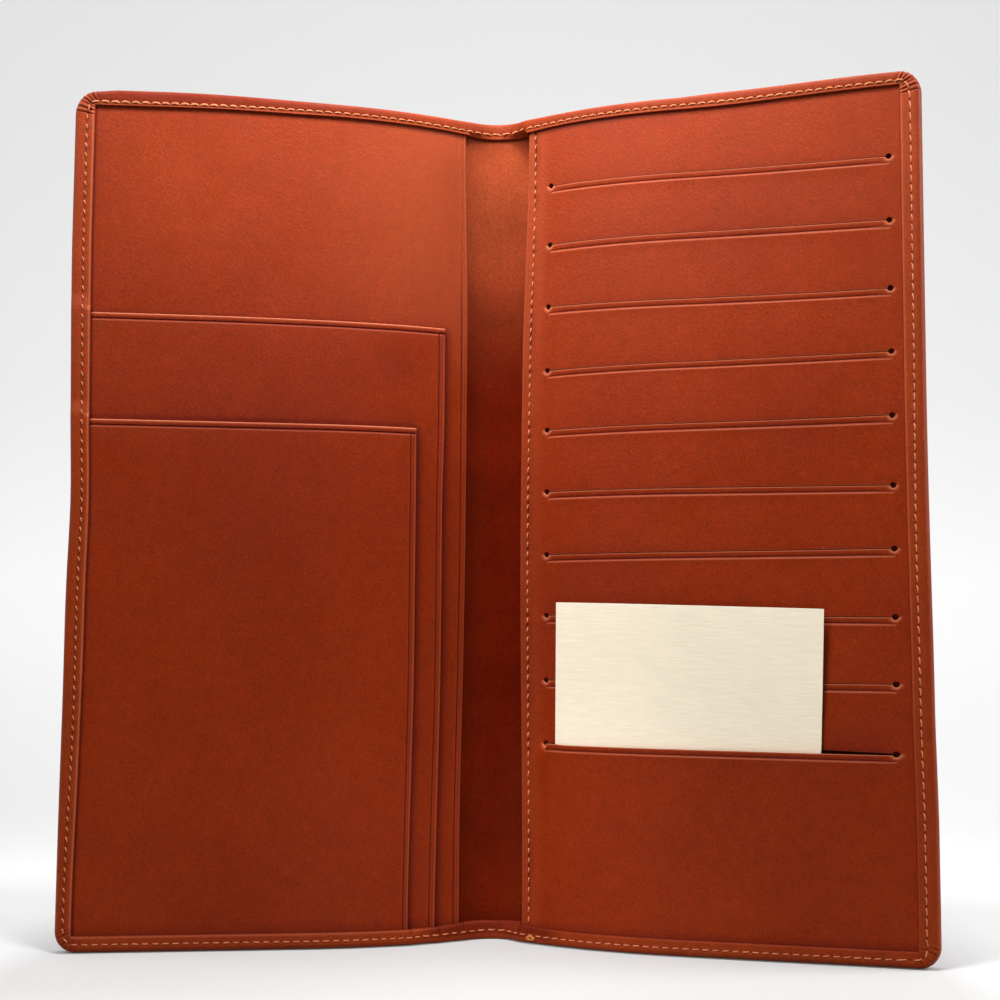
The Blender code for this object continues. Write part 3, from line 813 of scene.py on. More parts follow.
def hem_course(side, sizes):
    """Stations round a half's turned edge, from the foot of the spine to its head.

    Each has its outer point, the way in from it, the room to the hem's inner edge, the hem's
    width, the stitch line's distance, the front's depth and the look of its stitches.
    """
    steps = round((HEIGHT - 2 * CORNER_ZONE) / HEM_STEP)
    up = np.linspace(CORNER_ZONE, HEIGHT - CORNER_ZONE, steps + 1)
    wide = flank_width(side, up, sizes)
    line = flank_stitch(side, up)
    foot = hem_end(
        lambda x: sizes.foot_hem + 0.7 * MM * bump(x - 4 * MM, 9 * MM),
        lambda x: FOOT_STITCH + 0.3 * MM * bump(x, 14 * MM),
        wide[0],
        line[0],
    )
    narrow, closer = (0.25 * MM, 0) if side > 0 else (0.5 * MM, 0.05 * MM)

    def head_hem(x):
        widest = sizes.head_hem + 0.75 * MM * bump(x - 1 * MM, 10 * MM)
        return widest - narrow * smooth((x - 50 * MM) / (30 * MM))

    def head_stitch(x):
        return HEAD_STITCH + 0.4 * MM * bump(x, 16 * MM) - closer * smooth((x - 50 * MM) / (30 * MM))

    head = hem_end(head_hem, head_stitch, wide[-1], line[-1])[::-1]
    head[:, (1, 3)] = HEIGHT - head[:, (1, 3)]
    edge = np.full_like(up, HALF_WIDTH)
    flank = np.stack([edge, up, edge - wide, up, wide, line, 0 * up + 1], 1)
    course = np.concatenate([foot, flank, head])
    parts = (("foot", foot), ("side", flank), ("head", head))
    fronts = [hem_fronts(side, block[:, 0], block[:, 1], part) for part, block in parts]
    softs = [hem_fronts(side, block[:, 0], block[:, 1], part, True) for part, block in parts]
    styles = np.array(RIGHT_STITCHES if side > 0 else LEFT_STITCHES)
    looks = [styles[k] + block[:, 6:] * (styles[1] - styles[k]) for k, (_, block) in enumerate(parts)]
    outer, inner = course[:, 0:2], course[:, 2:4]
    gap = inner - outer
    room = np.linalg.norm(gap, axis=1)
    rise = np.minimum(outer[:, 1], HEIGHT - outer[:, 1])
    middle = HALF_WIDTH - CORNER_RADIUS
    turning = (outer[:, 0] > middle) & (rise < CORNER_RADIUS)
    turned = np.arctan2(outer[:, 0] - middle, CORNER_RADIUS - rise) / (math.pi / 2)
    # Painted shade on the head hem's outer strip, deeper towards the left half's far end; painted shade on
    # the foot hem beside the spine; painted highlight on the hem's inner rim, fading down the right side
    left_shade = 0.35 * (side < 0) * smooth((outer[:, 0] - 10 * MM) / (60 * MM))
    return {
        "outer": outer,
        "way": gap / room[:, None],
        "room": room,
        "width": course[:, 4],
        "stitch": course[:, 5],
        "front": np.concatenate(fronts),
        "soft": np.concatenate(softs),
        "look": np.concatenate(looks),
        "corner": np.where(turning, turned, -1),
        "head_shade": (outer[:, 1] > HEIGHT / 2) * (0.25 + left_shade),
        "foot_shade": 0.65 * (outer[:, 1] < HEIGHT / 2) * smooth((22 * MM - outer[:, 0]) / (8 * MM)),
        "rim": np.concatenate(looks)[:, 4] * (smooth(outer[:, 1] / (120 * MM)) if side > 0 else 1.0),
    }


def course_place(course, inward):
    """Points this far in from the edge, drawn out or in with the room that the hem has there."""
    scale = (course["room"] - FOLD_BULGE) / (course["width"] - FOLD_BULGE)
    far = np.where(inward > FOLD_BULGE, FOLD_BULGE + (inward - FOLD_BULGE) * scale, inward)
    return course["outer"] + course["way"] * far[:, None]


def stitch_run(course):
    """Distance along the stitch line at each station."""
    line = course_place(course, course["stitch"])
    steps = np.linalg.norm(np.diff(line, axis=0), axis=1)
    return np.concatenate([[0], np.cumsum(steps)])


def hem_rows(course, pitch):
    """Rows round the turned edge, from the outer face to the inner one.

    Each has its places on the drawing, their depths, and how much painted shade and painted highlight they
    take.
    """
    front, soft, stitch, width = (course[key] for key in ("front", "soft", "stitch", "width"))
    run = stitch_run(course)
    count = round(run[-1] / pitch)
    hole = bump((run * count / run[-1] + 0.5) % 1 - 0.5, 0.13) * course["look"][:, 3]
    rim, head_shade = course["rim"], course["head_shade"] * (course["outer"][:, 1] > HEIGHT - 0.5 * MM)
    head = course["outer"][:, 1] > HEIGHT / 2
    top = smooth((course["outer"][:, 1] - HEIGHT + 4 * MM) / (3.5 * MM))
    foot_shade, flatter = course["foot_shade"], 1 - 0.5 * top
    zero = np.zeros_like(front)
    pleat = zero
    for place, depth in PLEATS:
        pleat = np.maximum(pleat, depth * bump(course["corner"] - place, 0.032))
    pleat = pleat * np.where(head, 1.0, 0.6)
    ridge = np.where(course["corner"] >= 0, 1 - pleat, 0)
    rows = []

    def add(inward, depth, shade=0.0, painted_light=0.0):
        rows.append((course_place(course, zero + inward), zero + depth, zero + shade, zero + painted_light))

    def over(inward, lower=0.0, shade=0.0, painted_light=0.0, folded=1.0):
        """A row on the front of the hem, a little below the full height of its layers."""
        share = smooth((inward - stitch) / (width - stitch))
        level = soft + (front - soft) * share - lower * MM
        # Each front row takes the painted shade of the foot hem and of the pleats' valleys, and painted
        # highlights on the ridges at the head
        add(
            inward,
            level + folded * (0.06 * ridge - 0.26 * pleat) * MM,
            np.maximum(np.maximum(shade, foot_shade), 0.62 * folded * pleat),
            painted_light + 0.12 * folded * ridge * head,
        )

    # Painted shade in the stitch groove and in its needle holes
    for off, sunk, shade in ((1.3, 0, 0), (0.5, -0.03, 0), (0.22, 0.05, 0.1)):
        add(stitch + off * MM, sunk * MM, shade)
    add(stitch, (0.1 + 0.3 * hole) * MM, 0.15 + 0.85 * hole)
    for off, sunk, shade in ((0.22, 0.05, 0.1), (0.5, -0.03, 0)):
        add(stitch - off * MM, sunk * MM, shade)
    # The fold round the edge: painted highlights on its crest and, at the head, on its pleats' ridges;
    # painted shade in its pleats' valleys and on the head hem
    for i in range(13):
        turn = math.pi * (i / 12 - 0.5)
        share = (1 + math.sin(turn)) / 2
        bulge = FOLD_BULGE * (1 - math.cos(turn))
        fold = smooth((share - 0.3) / 0.7)
        painted_light = 0.05 * math.cos(turn) ** 2 + 0.12 * fold * ridge * head
        lower = (0.26 * pleat - 0.06 * ridge) * fold * MM
        shade = np.maximum(0.62 * fold * pleat, head_shade * smooth(2 * share))
        add(bulge + 0.14 * MM * fold * pleat, soft * share - lower, shade, painted_light)
    # Front rows: painted shade by the needle holes, and painted highlights on the inner rim
    over(stitch - 0.55 * MM, -0.03, np.maximum(head_shade, 0.5 * hole * top))
    over(stitch - 0.25 * MM, 0.06, np.maximum(0.05 + (0.5 + 0.3 * top) * hole, 0.6 * head_shade))
    over(stitch, (0.2 + 0.25 * hole) * flatter, (0.2 + 0.8 * hole) * (1 - 0.4 * top))
    near = np.minimum(1, (width - stitch) / (1.5 * MM)) * MM
    over(stitch + 0.25 * near, 0.27 * flatter, (0.15 + 0.3 * hole) * (1 - 0.8 * top))
    over(stitch + 0.5 * near, 0.3 * flatter)
    lip = width - 0.75 * near
    over((stitch + 0.5 * near + lip) / 2, 0.3 * flatter)
    over(lip, 0.3 * flatter, 0.0, 0.25 * rim, 0.8)
    over(width - 0.5 * near, 0.32 * flatter, 0.0, rim, 0.6)
    over(width - 0.34 * near, 0.36 - 0.2 * top, 0.0, rim, 0.4)
    # Painted shade along the hem's inner edge, where it stands over the leaf
    over(width - 0.2 * near, 0.44 - 0.12 * top, 0.4, 0.0, 0.3)
    over(width, 0.64, 0.85, 0.0, 0.2)
    # Painted shade on the rows under the hem
    add(width - 0.03 * MM, front - HEM_LEATHER - 0.08 * MM, 0.9)
    add(width - 0.8 * MM, front - HEM_LEATHER, 0.9)
    eased = COVER_LEATHER + 0.3 * MM
    add(eased, front - HEM_LEATHER, 0.8)
    add(COVER_LEATHER, front - HEM_LEATHER - 0.3 * MM, 0.8)
    add(COVER_LEATHER, eased, 0.8)
    add(eased, COVER_LEATHER, 0.8)
    return rows


def add_outline(name, flat):
    """A flat face with this outline, from a circle that is pulled onto it."""
    bpy.ops.object.select_all(action="DESELECT")
    bpy.ops.mesh.primitive_circle_add(vertices=len(flat), radius=HALF_WIDTH, fill_type="NGON")
    obj = named(name)
    set_points(obj, flat)
    return obj


def grow_rim(obj, rows):
    """Extrudes the open rim of a face once for each further row, and marks every point."""
    edit(obj)
    bpy.ops.mesh.select_mode(type="EDGE")
    bm = bmesh.from_edit_mesh(obj.data)
    bm.verts.layers.int.new("row")
    station = bm.verts.layers.int.new("station")
    bm.verts.ensure_lookup_table()
    for i, vert in enumerate(bm.verts):
        vert[station] = i
    for edge in bm.edges:
        first, second = (vert[station] for vert in edge.verts)
        edge.select_set(abs(first - second) == 1)
    bmesh.update_edit_mesh(obj.data)
    for number in range(1, rows):
        bpy.ops.mesh.extrude_region()
        bm = bmesh.from_edit_mesh(obj.data)
        row = bm.verts.layers.int["row"]
        for vert in bm.verts:
            if vert.select:
                vert[row] = number
    bpy.ops.mesh.edge_face_add()
    bm = bmesh.from_edit_mesh(obj.data)
    station = bm.verts.layers.int["station"]
    last = max(vert[station] for vert in bm.verts)
    bpy.ops.mesh.select_all(action="DESELECT")
    for edge in bm.edges:
        if edge.is_boundary and all(vert[station] in (0, last) for vert in edge.verts):
            edge.select_set(True)
    bmesh.update_edit_mesh(obj.data)
    bpy.ops.mesh.edge_face_add()
    leave()


def marks(obj, name):
    values = np.zeros(len(obj.data.vertices), np.int32)
    obj.data.attributes[name].data.foreach_get("value", values)
    return values


def make_cover_half(name, side, sizes, material):
    """Half of the cover with its turned, stitched edge, from the middle of the spine out."""
    course = hem_course(side, sizes)
    rows = hem_rows(course, sizes.stitch_pitch)
    places, depths, shades, painted_lights = (np.array(values) for values in zip(*rows))
    grid = np.stack([side * places[:, :, 0], -depths, places[:, :, 1]], 2)
    obj = add_outline(name, grid[0])
    grow_rim(obj, len(rows))
    row, station = marks(obj, "row"), marks(obj, "station")
    set_points(obj, grid[row, station])
    # Painted shade and painted light of each point
    paint(obj, "shade", shades[row, station])
    paint(obj, "painted_light", painted_lights[row, station])
    # The two broad faces are cut across at stations of the rim, closer where the spine curves
    outer = course["outer"]
    edit(obj)
    pick(obj, "FACE", lambda face: len(face.verts) >= len(outer))
    bpy.ops.mesh.hide(unselected=True)
    foot = outer[outer[:, 1] == 0][:, 0]
    near = [x for x in foot[4::4] if x < FLARE_END]
    far = [x for x in foot[8::9] if x > FLARE_END + 1.5 * MM]
    cut([side * x for x in near + far], 0)
    cut(outer[outer[:, 0] == HALF_WIDTH][:, 1][4::9], 2)
    bpy.ops.mesh.reveal()
    bpy.ops.mesh.select_all(action="SELECT")
    bpy.ops.mesh.normals_make_consistent(inside=False)
    leave()
    for layer in ("row", "station"):
        obj.data.attributes.remove(obj.data.attributes[layer])
    return roll_up(obj, material, 50)


def bend_at_fold(obj):
    """Bakes a piece's transform into its mesh."""
    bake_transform(obj)


# Leaves


def edge_fine(edge, way, crease):
    """Cut places near a free edge: its rounding, its bead and its pressed line."""
    offsets = [0.35, 0.75, crease / MM - 0.34, crease / MM - 0.16, crease / MM]
    offsets += [crease / MM + 0.16, crease / MM + 0.34, crease / MM + 0.7]
    return [edge + way * off * MM for off in sorted(offsets)]


def pressed(distance, crease, marked=1.0):
    """Height of the leather near a free edge: a bead, a pressed line and the lip beyond it."""
    bead = 0.09 * np.sin(math.pi * np.clip(distance / crease, 0, 1)) ** 0.7
    line = -0.22 * bump(distance - crease, 0.2 * MM)
    lip = 0.06 * bump(distance - crease - 0.42 * MM, 0.22 * MM)
    return (bead + marked * (line + lip)) * MM


def pocket_shape(flat, edge, top, sizes, fade_top=None):
    """Moves a leaf's points forward for its free inner edge and, if it has one, its free top."""
    inner = np.abs(flat[:, 0]) - abs(edge)
    if top is None:
        flat[:, 1] -= pressed(inner, sizes.side_crease) * smooth((fade_top - flat[:, 2]) / (35 * MM))
        return flat
    down = top - flat[:, 2]
    below = smooth((down - sizes.top_crease + 0.2 * MM) / (0.3 * MM))
    flat[:, 1] -= np.minimum(pressed(inner, sizes.side_crease, below), pressed(down, sizes.top_crease))
    return flat


def edge_shades(flat, edge, top, sizes, fade_top=None):
    """Painted shade in a pocket's pressed lines, and painted highlights on its free edges and lips."""
    inner = np.abs(flat[:, 0]) - abs(edge)
    # Painted shade in the pressed line along the free side edge
    line = 0.8 * bump(inner - sizes.side_crease, 0.17 * MM)
    # Painted highlights on the free edge and on the lip beyond the pressed line
    highlight = 0.3 * bump(inner - 0.15 * MM, 0.26 * MM)
    highlight = highlight + 0.1 * bump(inner - sizes.side_crease - 0.42 * MM, 0.16 * MM)
    if top is None:
        fade = smooth((fade_top - flat[:, 2]) / (35 * MM))
        # On the bill panel, a painted sheen near the spine, high up
        painted_sheen = 0.11 * smooth((50 * MM - inner) / (45 * MM))
        return line * fade, highlight + painted_sheen * smooth((flat[:, 2] - 140 * MM) / (30 * MM))
    down = top - flat[:, 2]
    line = line * smooth((down - sizes.top_crease + 0.2 * MM) / (0.3 * MM))
    line = np.maximum(line, 0.8 * bump(down - sizes.top_crease, 0.24 * MM))
    # Painted highlights on the free top edge and on the lip below its pressed line
    highlight = np.maximum(highlight, 0.95 * bump(down - 0.1 * MM, 0.24 * MM))
    highlight = np.maximum(highlight, 0.4 * bump(down - sizes.top_crease - 0.42 * MM, 0.16 * MM))
    return line, highlight


def clouded(flat, clouds):
    """Darker painted patches, each given by its middle, its reach and its depth."""
    shade = np.zeros_like(flat[:, 0])
    for x, z, reach, depth in clouds:
        shade = shade + depth * bump(np.hypot(flat[:, 0] / MM - x, flat[:, 2] / MM - z), reach)
    return shade


def painted_edge_shadow(flat, edge, top, above_it):
    """Painted shadow on a leaf beside and above the free edges of the leaf that lies on it."""
    beside, above = np.clip(flat[:, 0] + edge, 0, None), np.clip(flat[:, 2] - top, 0, None)
    right = 0.75 * bump(beside, 1.45 * MM) + 0.12 * np.exp(-beside / (3 * MM))
    over = 0.5 * smooth((1.7 * MM - above) / (0.8 * MM)) + 0.5 * np.exp(-above / (2.4 * MM))
    right = right * smooth((0.5 * MM - flat[:, 2] + top) / MM)
    return np.maximum(right, above_it * over * smooth((0.5 * MM - flat[:, 0] - edge) / MM))


def make_pocket(name, edge, top, front, sizes, material, fade_top=None, upper=None):
    """A pocket leaf of the left half, sewn in at the foot and the outer side.

    The leaf that lies on it is given by its free edge, its top and how dark its painted shadow is above that.
    """
    head = top or LEAF_HEAD
    across = edge_fine(-edge, -1, sizes.side_crease)
    up = edge_fine(head, -1, sizes.top_crease) if top else []
    across += [-HALF_WIDTH + (4 + off / 4) * MM for off in range(8)]
    if upper:
        across += [-upper[0] + off * MM for off in (0, 0.4, 0.8, 1.3, 1.9, 2.7)]
        up += [upper[1] + off * MM for off in (0, 0.9, 1.3, 1.8, 3, 5)]
    steps = (2.2 * MM, 3 * MM)
    obj = add_leaf(name, (-LEAF_SIDE, LEAF_INSET), (-edge, head), front, steps, across, up)
    flat = pocket_shape(points_of(obj), -edge, top, sizes, fade_top)
    set_points(obj, round_corners(flat, -1, head + (LEAF_CORNER * 2 if top else 0)))
    thicken(obj, POCKET_LEATHER)

    def free(point):
        return point.x > -edge - 0.01 * MM or (top and point.z > head - 0.01 * MM)

    round_edges(obj, free, EDGE_ROUNDING, 3)
    flat = points_of(obj)
    shade, painted_light = edge_shades(flat, edge, top, sizes, fade_top)
    # Painted shadow beside and above the free edges of the leaf that lies on it
    if upper:
        shade = np.maximum(shade, painted_edge_shadow(flat, *upper))
    # The darker painted patches, and painted shade along the foot hem's inner edge
    shade = shade + clouded(flat, LEFT_CLOUDS) + 0.4 * bump(flat[:, 2] - FOOT_SHADE_LINE, 0.6 * MM)
    # Painted shade in the gap beside the left hem's inner edge
    beside = flat[:, 0] + HALF_WIDTH - flank_width(-1, flat[:, 2], sizes)
    shade = shade + 0.6 * bump(beside - 0.1 * MM, 0.4 * MM)
    paint(obj, "shade", np.minimum(shade, 1))
    paint(obj, "painted_light", painted_light)
    return roll_up(obj, material)


def make_lining(name, side, material):
    """Half of the sueded lining, from the middle of the spine out."""
    low, high = sorted((0, side * LEAF_SIDE))
    steps = (1.6 * MM, 4 * MM)
    obj = add_leaf(name, (low, LEAF_INSET), (high, LEAF_HEAD), LINING_FRONT, steps)
    set_points(obj, round_corners(points_of(obj), side))
    thicken(obj, LINING_CLOTH)
    flat = points_of(obj)
    x, z = flat[:, 0] / MM, flat[:, 2] / MM
    # Painted shade beside the card panel's free edge and under the foot and head hems
    paint(obj, "shade", 0.3 * bump(x - 8.1, 1.2) + 0.3 * bump(z - 4.5, 1.4) + 0.3 * bump(z - 211, 1.4))
    # Painted light: the suede brighter at the top, along the left, at the bottom and low beside the right
    # fold
    painted_suede_light = smooth((z - 138) / 65) + 0.04 * smooth(-x / 6) + 0.04 * smooth((60 - z) / 40)
    painted_suede_light = painted_suede_light + 0.05 * smooth((x + 1) / 5) * smooth((75 - z) / 40)
    paint(obj, "painted_light", np.clip(painted_suede_light, 0, 1))
    return roll_up(obj, material)


# Card panel and card


def card_back(z):
    """Depth of the card's back, which comes forward from its seat to the lowest slit and above."""
    drop = LAST_SLIT - CARD_BOTTOM
    seat = PANEL_BACK - LAYER_GAP - (LINER_SEAM + drop) * LINER_SLOPE + CARD_CLEARANCE
    lean = (PANEL_FRONT + CARD_CLEARANCE - seat) / drop
    return PANEL_FRONT + CARD_CLEARANCE + (z - LAST_SLIT) * lean


def slit_share(x):
    """0 at both ends of a slit and outside it, 1 along its middle."""
    return smooth((x - SLIT_START) / (9 * MM)) * smooth((SLIT_END - x) / (9 * MM))


def lip_bulge(x, z):
    """How far the panel is held forward below the lowest slit by the card behind it."""
    clear = card_back(z) + CARD_STOCK + CARD_CLEARANCE - PANEL_BACK
    soft = 0.1 * MM
    clear = (clear + np.sqrt(clear * clear + soft * soft)) / 2
    share = smooth((x - SLIT_START + 5 * MM) / (8 * MM))
    share = share * smooth((SLIT_END + MM - x) / (SLIT_END - CARD_LEFT - CARD_WIDTH))
    joined = smooth((LAST_SLIT - z) / (3 * MM))
    cut_free = smooth((x - SLIT_START) / MM) * smooth((SLIT_END - x) / MM)
    return np.where(z < LAST_SLIT, clear * share * np.maximum(joined, cut_free), 0)


def round_off(across, up, flat, x, z, radius):
    """Draws the square rings of points round a hole's middle onto circles, out to a full square."""
    ring = np.maximum(np.abs(across), np.abs(up))
    away = np.hypot(across, up)
    share = 1 - smooth((ring / radius - 1) / 1.2)
    scale = 1 + share * (ring / np.maximum(away, 1e-9) - 1)
    near = ring < 2.2 * radius
    flat[:, 0] = np.where(near, x + across * scale, flat[:, 0])
    flat[:, 2] = np.where(near, z + up * scale, flat[:, 2])


def stray(x, z):
    """How far up each place of the card panel strays with the slits, which aren't quite level."""
    left, right, middle = (
        np.interp(z, SLITS[::-1], values[::-1]) * MM
        for values in (LEFT_STRAY, RIGHT_STRAY, MIDDLE_STRAY)
    )
    share = np.clip((x - SLIT_START) / (SLIT_END - SLIT_START), 0, 1)
    ends = smooth((x - CARD_EDGE - 3 * MM) / (3 * MM)) * smooth((z - 30 * MM) / (20 * MM))
    ends = ends * smooth((HEIGHT - 6 * MM - z) / (8 * MM))
    return (left + (right - left) * share + 4 * middle * share * (1 - share)) * ends


def seam_marks(x, z, sizes, line, hole):
    """How near each place is to the seam's line, in its width, and to a needle hole along it."""
    run = (z / sizes.stitch_pitch + 0.5) % 1 - 0.5
    return bump(x - CARD_EDGE - sizes.seam_inset, line), bump(run, hole)


def shape_panel(flat, sizes):
    """Presses the seam and the creases, rounds the holes and lifts the lips of the card panel."""
    x, z = flat[:, 0].copy(), flat[:, 2].copy()
    rise = 0.06 * MM * np.sin(math.pi * np.clip((x - CARD_EDGE) / sizes.seam_inset, 0, 1))
    seam, holes = seam_marks(x, z, sizes, 0.22 * MM, 0.17)
    rise = rise - seam * (0.1 + 0.25 * holes) * MM
    moved = np.zeros_like(x)
    along = smooth((x - SLIT_START - 0.5 * MM) / (1.5 * MM))
    along = along * smooth((SLIT_END - 1.2 * MM - x) / (1.5 * MM))
    for number, middle in enumerate(SLITS):
        low = z - middle
        over = np.where(low > 0, np.exp(-np.clip(low, 0, 20 * MM) / (3 * MM)), 0)
        under = np.where(low < 0, np.exp(np.clip(low, -20 * MM, 0) / (3 * MM)), 0)
        rise = rise - 0.17 * MM * bump(low + CREASE_DROP, 0.17 * MM) * along
        rise = rise + 0.05 * MM * bump(low + LIP_DROP, 0.17 * MM) * along
        if number < SLIT_COUNT - 1:
            loose = 0.08 + 0.04 * math.sin(2.3 * number + 0.8)
            shut = 0.3 if number > 6 else 1.0
            rise = rise + (0.06 * under - loose * over) * shut * slit_share(x) * MM
        else:
            mouth = smooth((x - CARD_LEFT) / (2.4 * MM))
            mouth = mouth * smooth((SLIT_END + 0.4 * MM - x) / (2.4 * MM))
            tall = 0.12 + 0.36 * np.clip((SLIT_END - x) / (18 * MM), 0, 1)
            rise = rise - 0.1 * MM * over * slit_share(x)
            moved = moved + (tall * over - 0.2 * under) * mouth * MM
        for hole in (SLIT_START, SLIT_END):
            round_off(x - hole, low, flat, hole, middle, sizes.slit_hole / 2)
    flat[:, 1] -= rise + lip_bulge(x, z)
    flat[:, 2] += moved + stray(x, z)
    return flat


def panel_shades(flat, sizes):
    """Painted shade in the card panel's seam, pressed lines and slits, and painted highlights on its punched
    rims, lips and edges.
    """
    x, z = flat[:, 0], flat[:, 2]
    seam, holes = seam_marks(x, z, sizes, 0.3 * MM, 0.2)
    # Painted shade in the seam's groove and its needle holes
    shade = seam * (0.2 + 0.8 * holes)
    # Painted highlight on the panel's free edge, and painted light on the strip beside the seam
    painted_light = 0.3 * bump(x - CARD_EDGE, 0.3 * MM)
    painted_light = painted_light + 0.05 * smooth((SLIT_START - x) / (4 * MM)) * (1 + smooth((z - 120 * MM) / (60 * MM)))
    along = (x > SLIT_START) & (x < SLIT_END)
    for middle in SLITS:
        low = z - middle
        # Painted shade in each pressed line, above each slit and under its upper edge
        shade = np.maximum(shade, 0.8 * bump(low + CREASE_DROP, 0.16 * MM) * along)
        behind = 0.25 * np.exp(-np.clip(low, 0, None) / (0.8 * MM)) * (low > 0)
        shade = np.maximum(shade, (behind + 0.25 * bump(low - SLIT_GAP, 0.14 * MM)) * along)
        # Painted highlights on the lip below each pressed line and on each slit's lower edge
        painted_light = np.maximum(painted_light, 0.45 * bump(low + LIP_DROP, 0.16 * MM) * along)
        painted_light = np.maximum(painted_light, 0.8 * bump(low + SLIT_GAP, 0.16 * MM) * along)
        for hole in (SLIT_START, SLIT_END):
            # Painted highlight on the lower rim of each punched hole
            away = np.hypot(x - hole, low)
            lower = smooth(0.4 - low / MM)
            painted_light = np.maximum(painted_light, bump(away - sizes.slit_hole / 2 - 0.15 * MM, 0.36 * MM) * lower)
    low = z - LAST_SLIT
    # Painted shade above the lowest slit right of the card, and along the foot hem's inner edge
    beside = 0.3 * np.exp(-np.clip(low, 0, None) / (2.5 * MM)) * (low > 0) * smooth((x - 80 * MM) / (10 * MM))
    shade = shade + beside * smooth((SLIT_END - x) / (3 * MM)) + 0.4 * bump(z - FOOT_SHADE_LINE, 0.6 * MM)
    return np.minimum(shade + clouded(flat, RIGHT_CLOUDS), 1), painted_light


def make_card_panel(name, sizes, material):
    """The leather card panel with ten slits, each between two punched holes."""
    radius = sizes.slit_hole / 2
    seam = CARD_EDGE + sizes.seam_inset
    fine_x = [CARD_EDGE + off * MM for off in (0.35, 0.9)]
    fine_x += [seam + off * MM for off in (-0.42, -0.2, 0, 0.2, 0.42)]
    rings = [radius * share for share in (-2.1, -1.5, -1, -0.5, 0.5, 1, 1.5, 2.1)]
    for hole in (SLIT_START, SLIT_END):
        fine_x += [hole + off for off in [*rings, 0]]
    crease = [off * MM for off in (-2.25, -1.9, -1.7, -1.52, -1.34)]
    near = [off for off in rings if off > -1.2 * radius]
    fine_z = []
    for middle in SLITS:
        fine_z += [middle + off for off in (*crease, *near, -0.22 * MM, -SLIT_GAP, SLIT_GAP, 0.8 * MM)]
    low, high, steps = (CARD_EDGE, LEAF_INSET), (LEAF_SIDE, LEAF_HEAD), (2.2 * MM, 2.6 * MM)
    obj = add_leaf(name, low, high, PANEL_FRONT, steps, fine_x, fine_z)

    def punched(face):
        middle = face.calc_center_median()
        height = min(SLITS, key=lambda z: abs(z - middle.z))
        up = abs(middle.z - height)
        if up < 0.9 * SLIT_GAP and SLIT_START < middle.x < SLIT_END:
            return True
        return up < radius and min(abs(middle.x - SLIT_START), abs(middle.x - SLIT_END)) < radius

    edit(obj)
    pick(obj, "FACE", punched)
    bpy.ops.mesh.delete(type="FACE")
    leave()
    flat = shape_panel(points_of(obj), sizes)
    shade, painted_light = panel_shades(points_of(obj), sizes)
    paint(obj, "shade", shade)
    paint(obj, "painted_light", painted_light)
    set_points(obj, round_corners(flat, 1))
    thicken(obj, POCKET_LEATHER)
    round_edges(obj, lambda point: point.x < CARD_EDGE + 0.01 * MM, EDGE_ROUNDING, 3)
    return roll_up(obj, material)


def make_card(name, material):
    """The bare card, leaning out of the lowest slit and turned a little to the right."""
    tall = LAST_SLIT + CARD_SHOWN - CARD_BOTTOM
    obj = add_leaf(name, (0, 0), (CARD_WIDTH, tall), CARD_STOCK, (2.2 * MM, 4 * MM))
    thicken(obj, CARD_STOCK)
    round_edges(obj, lambda point: True, 0.05 * MM, 1)
    flat = points_of(obj)
    x, z = flat[:, 0], flat[:, 2] - tall
    cos, sin = math.cos(CARD_TILT), math.sin(CARD_TILT)
    across = CARD_LEFT + CARD_SHOWN * sin + x * cos + z * sin
    up = LAST_SLIT + CARD_SHOWN + CARD_WIDTH / 2 * sin + z * cos - x * sin
    set_points(obj, np.stack([across, flat[:, 1] - card_back(up), up], 1))
    return roll_up(obj, material)


# Thread


def make_one_stitch(thick):
    """One stitch a metre long lying along X: a thread that rises between its two needle holes."""
    bpy.ops.object.select_all(action="DESELECT")
    turn = (0, math.pi / 2, 0)
    bpy.ops.mesh.primitive_cylinder_add(vertices=7, radius=thick / 2, depth=1, rotation=turn)
    obj = settled("stitch_pattern")
    edit(obj)
    cut((-0.4, -0.22, 0, 0.22, 0.4), 0)
    leave()
    points = points_of(obj)
    share = np.abs(points[:, 0]) * 2
    slim = 1 - 0.5 * share**4
    points[:, 1] = points[:, 1] * 0.75 * slim - (0.5 * (1 - share**2) - 0.28) * thick
    points[:, 2] *= slim
    set_points(obj, points)
    return obj


def sew(name, places, one, material):
    """Copies one stitch to each place: its middle, its direction and length, its bow, and its facing."""
    bm = bmesh.new()
    for middle, way, bow, facing in places:
        before = len(bm.verts)
        bm.from_mesh(one.data)
        bm.verts.ensure_lookup_table()
        turn = Matrix.Rotation(-math.atan2(way[1], way[0]), 4, "Y")
        if facing < 0:
            turn = turn @ Matrix.Rotation(math.pi, 4, "X")
        move = Matrix.Translation(middle) @ turn
        long = math.hypot(*way)
        for vert in bm.verts[before:]:
            x, y, z = vert.co
            vert.co = move @ Vector((x * long, y, z + facing * bow * (1 - 4 * x * x)))
    mesh = bpy.data.meshes.new(name)
    bm.to_mesh(mesh)
    bm.free()
    obj = bpy.data.objects.new(name, mesh)
    bpy.context.scene.collection.objects.link(obj)
    return roll_up(obj, material, 60)


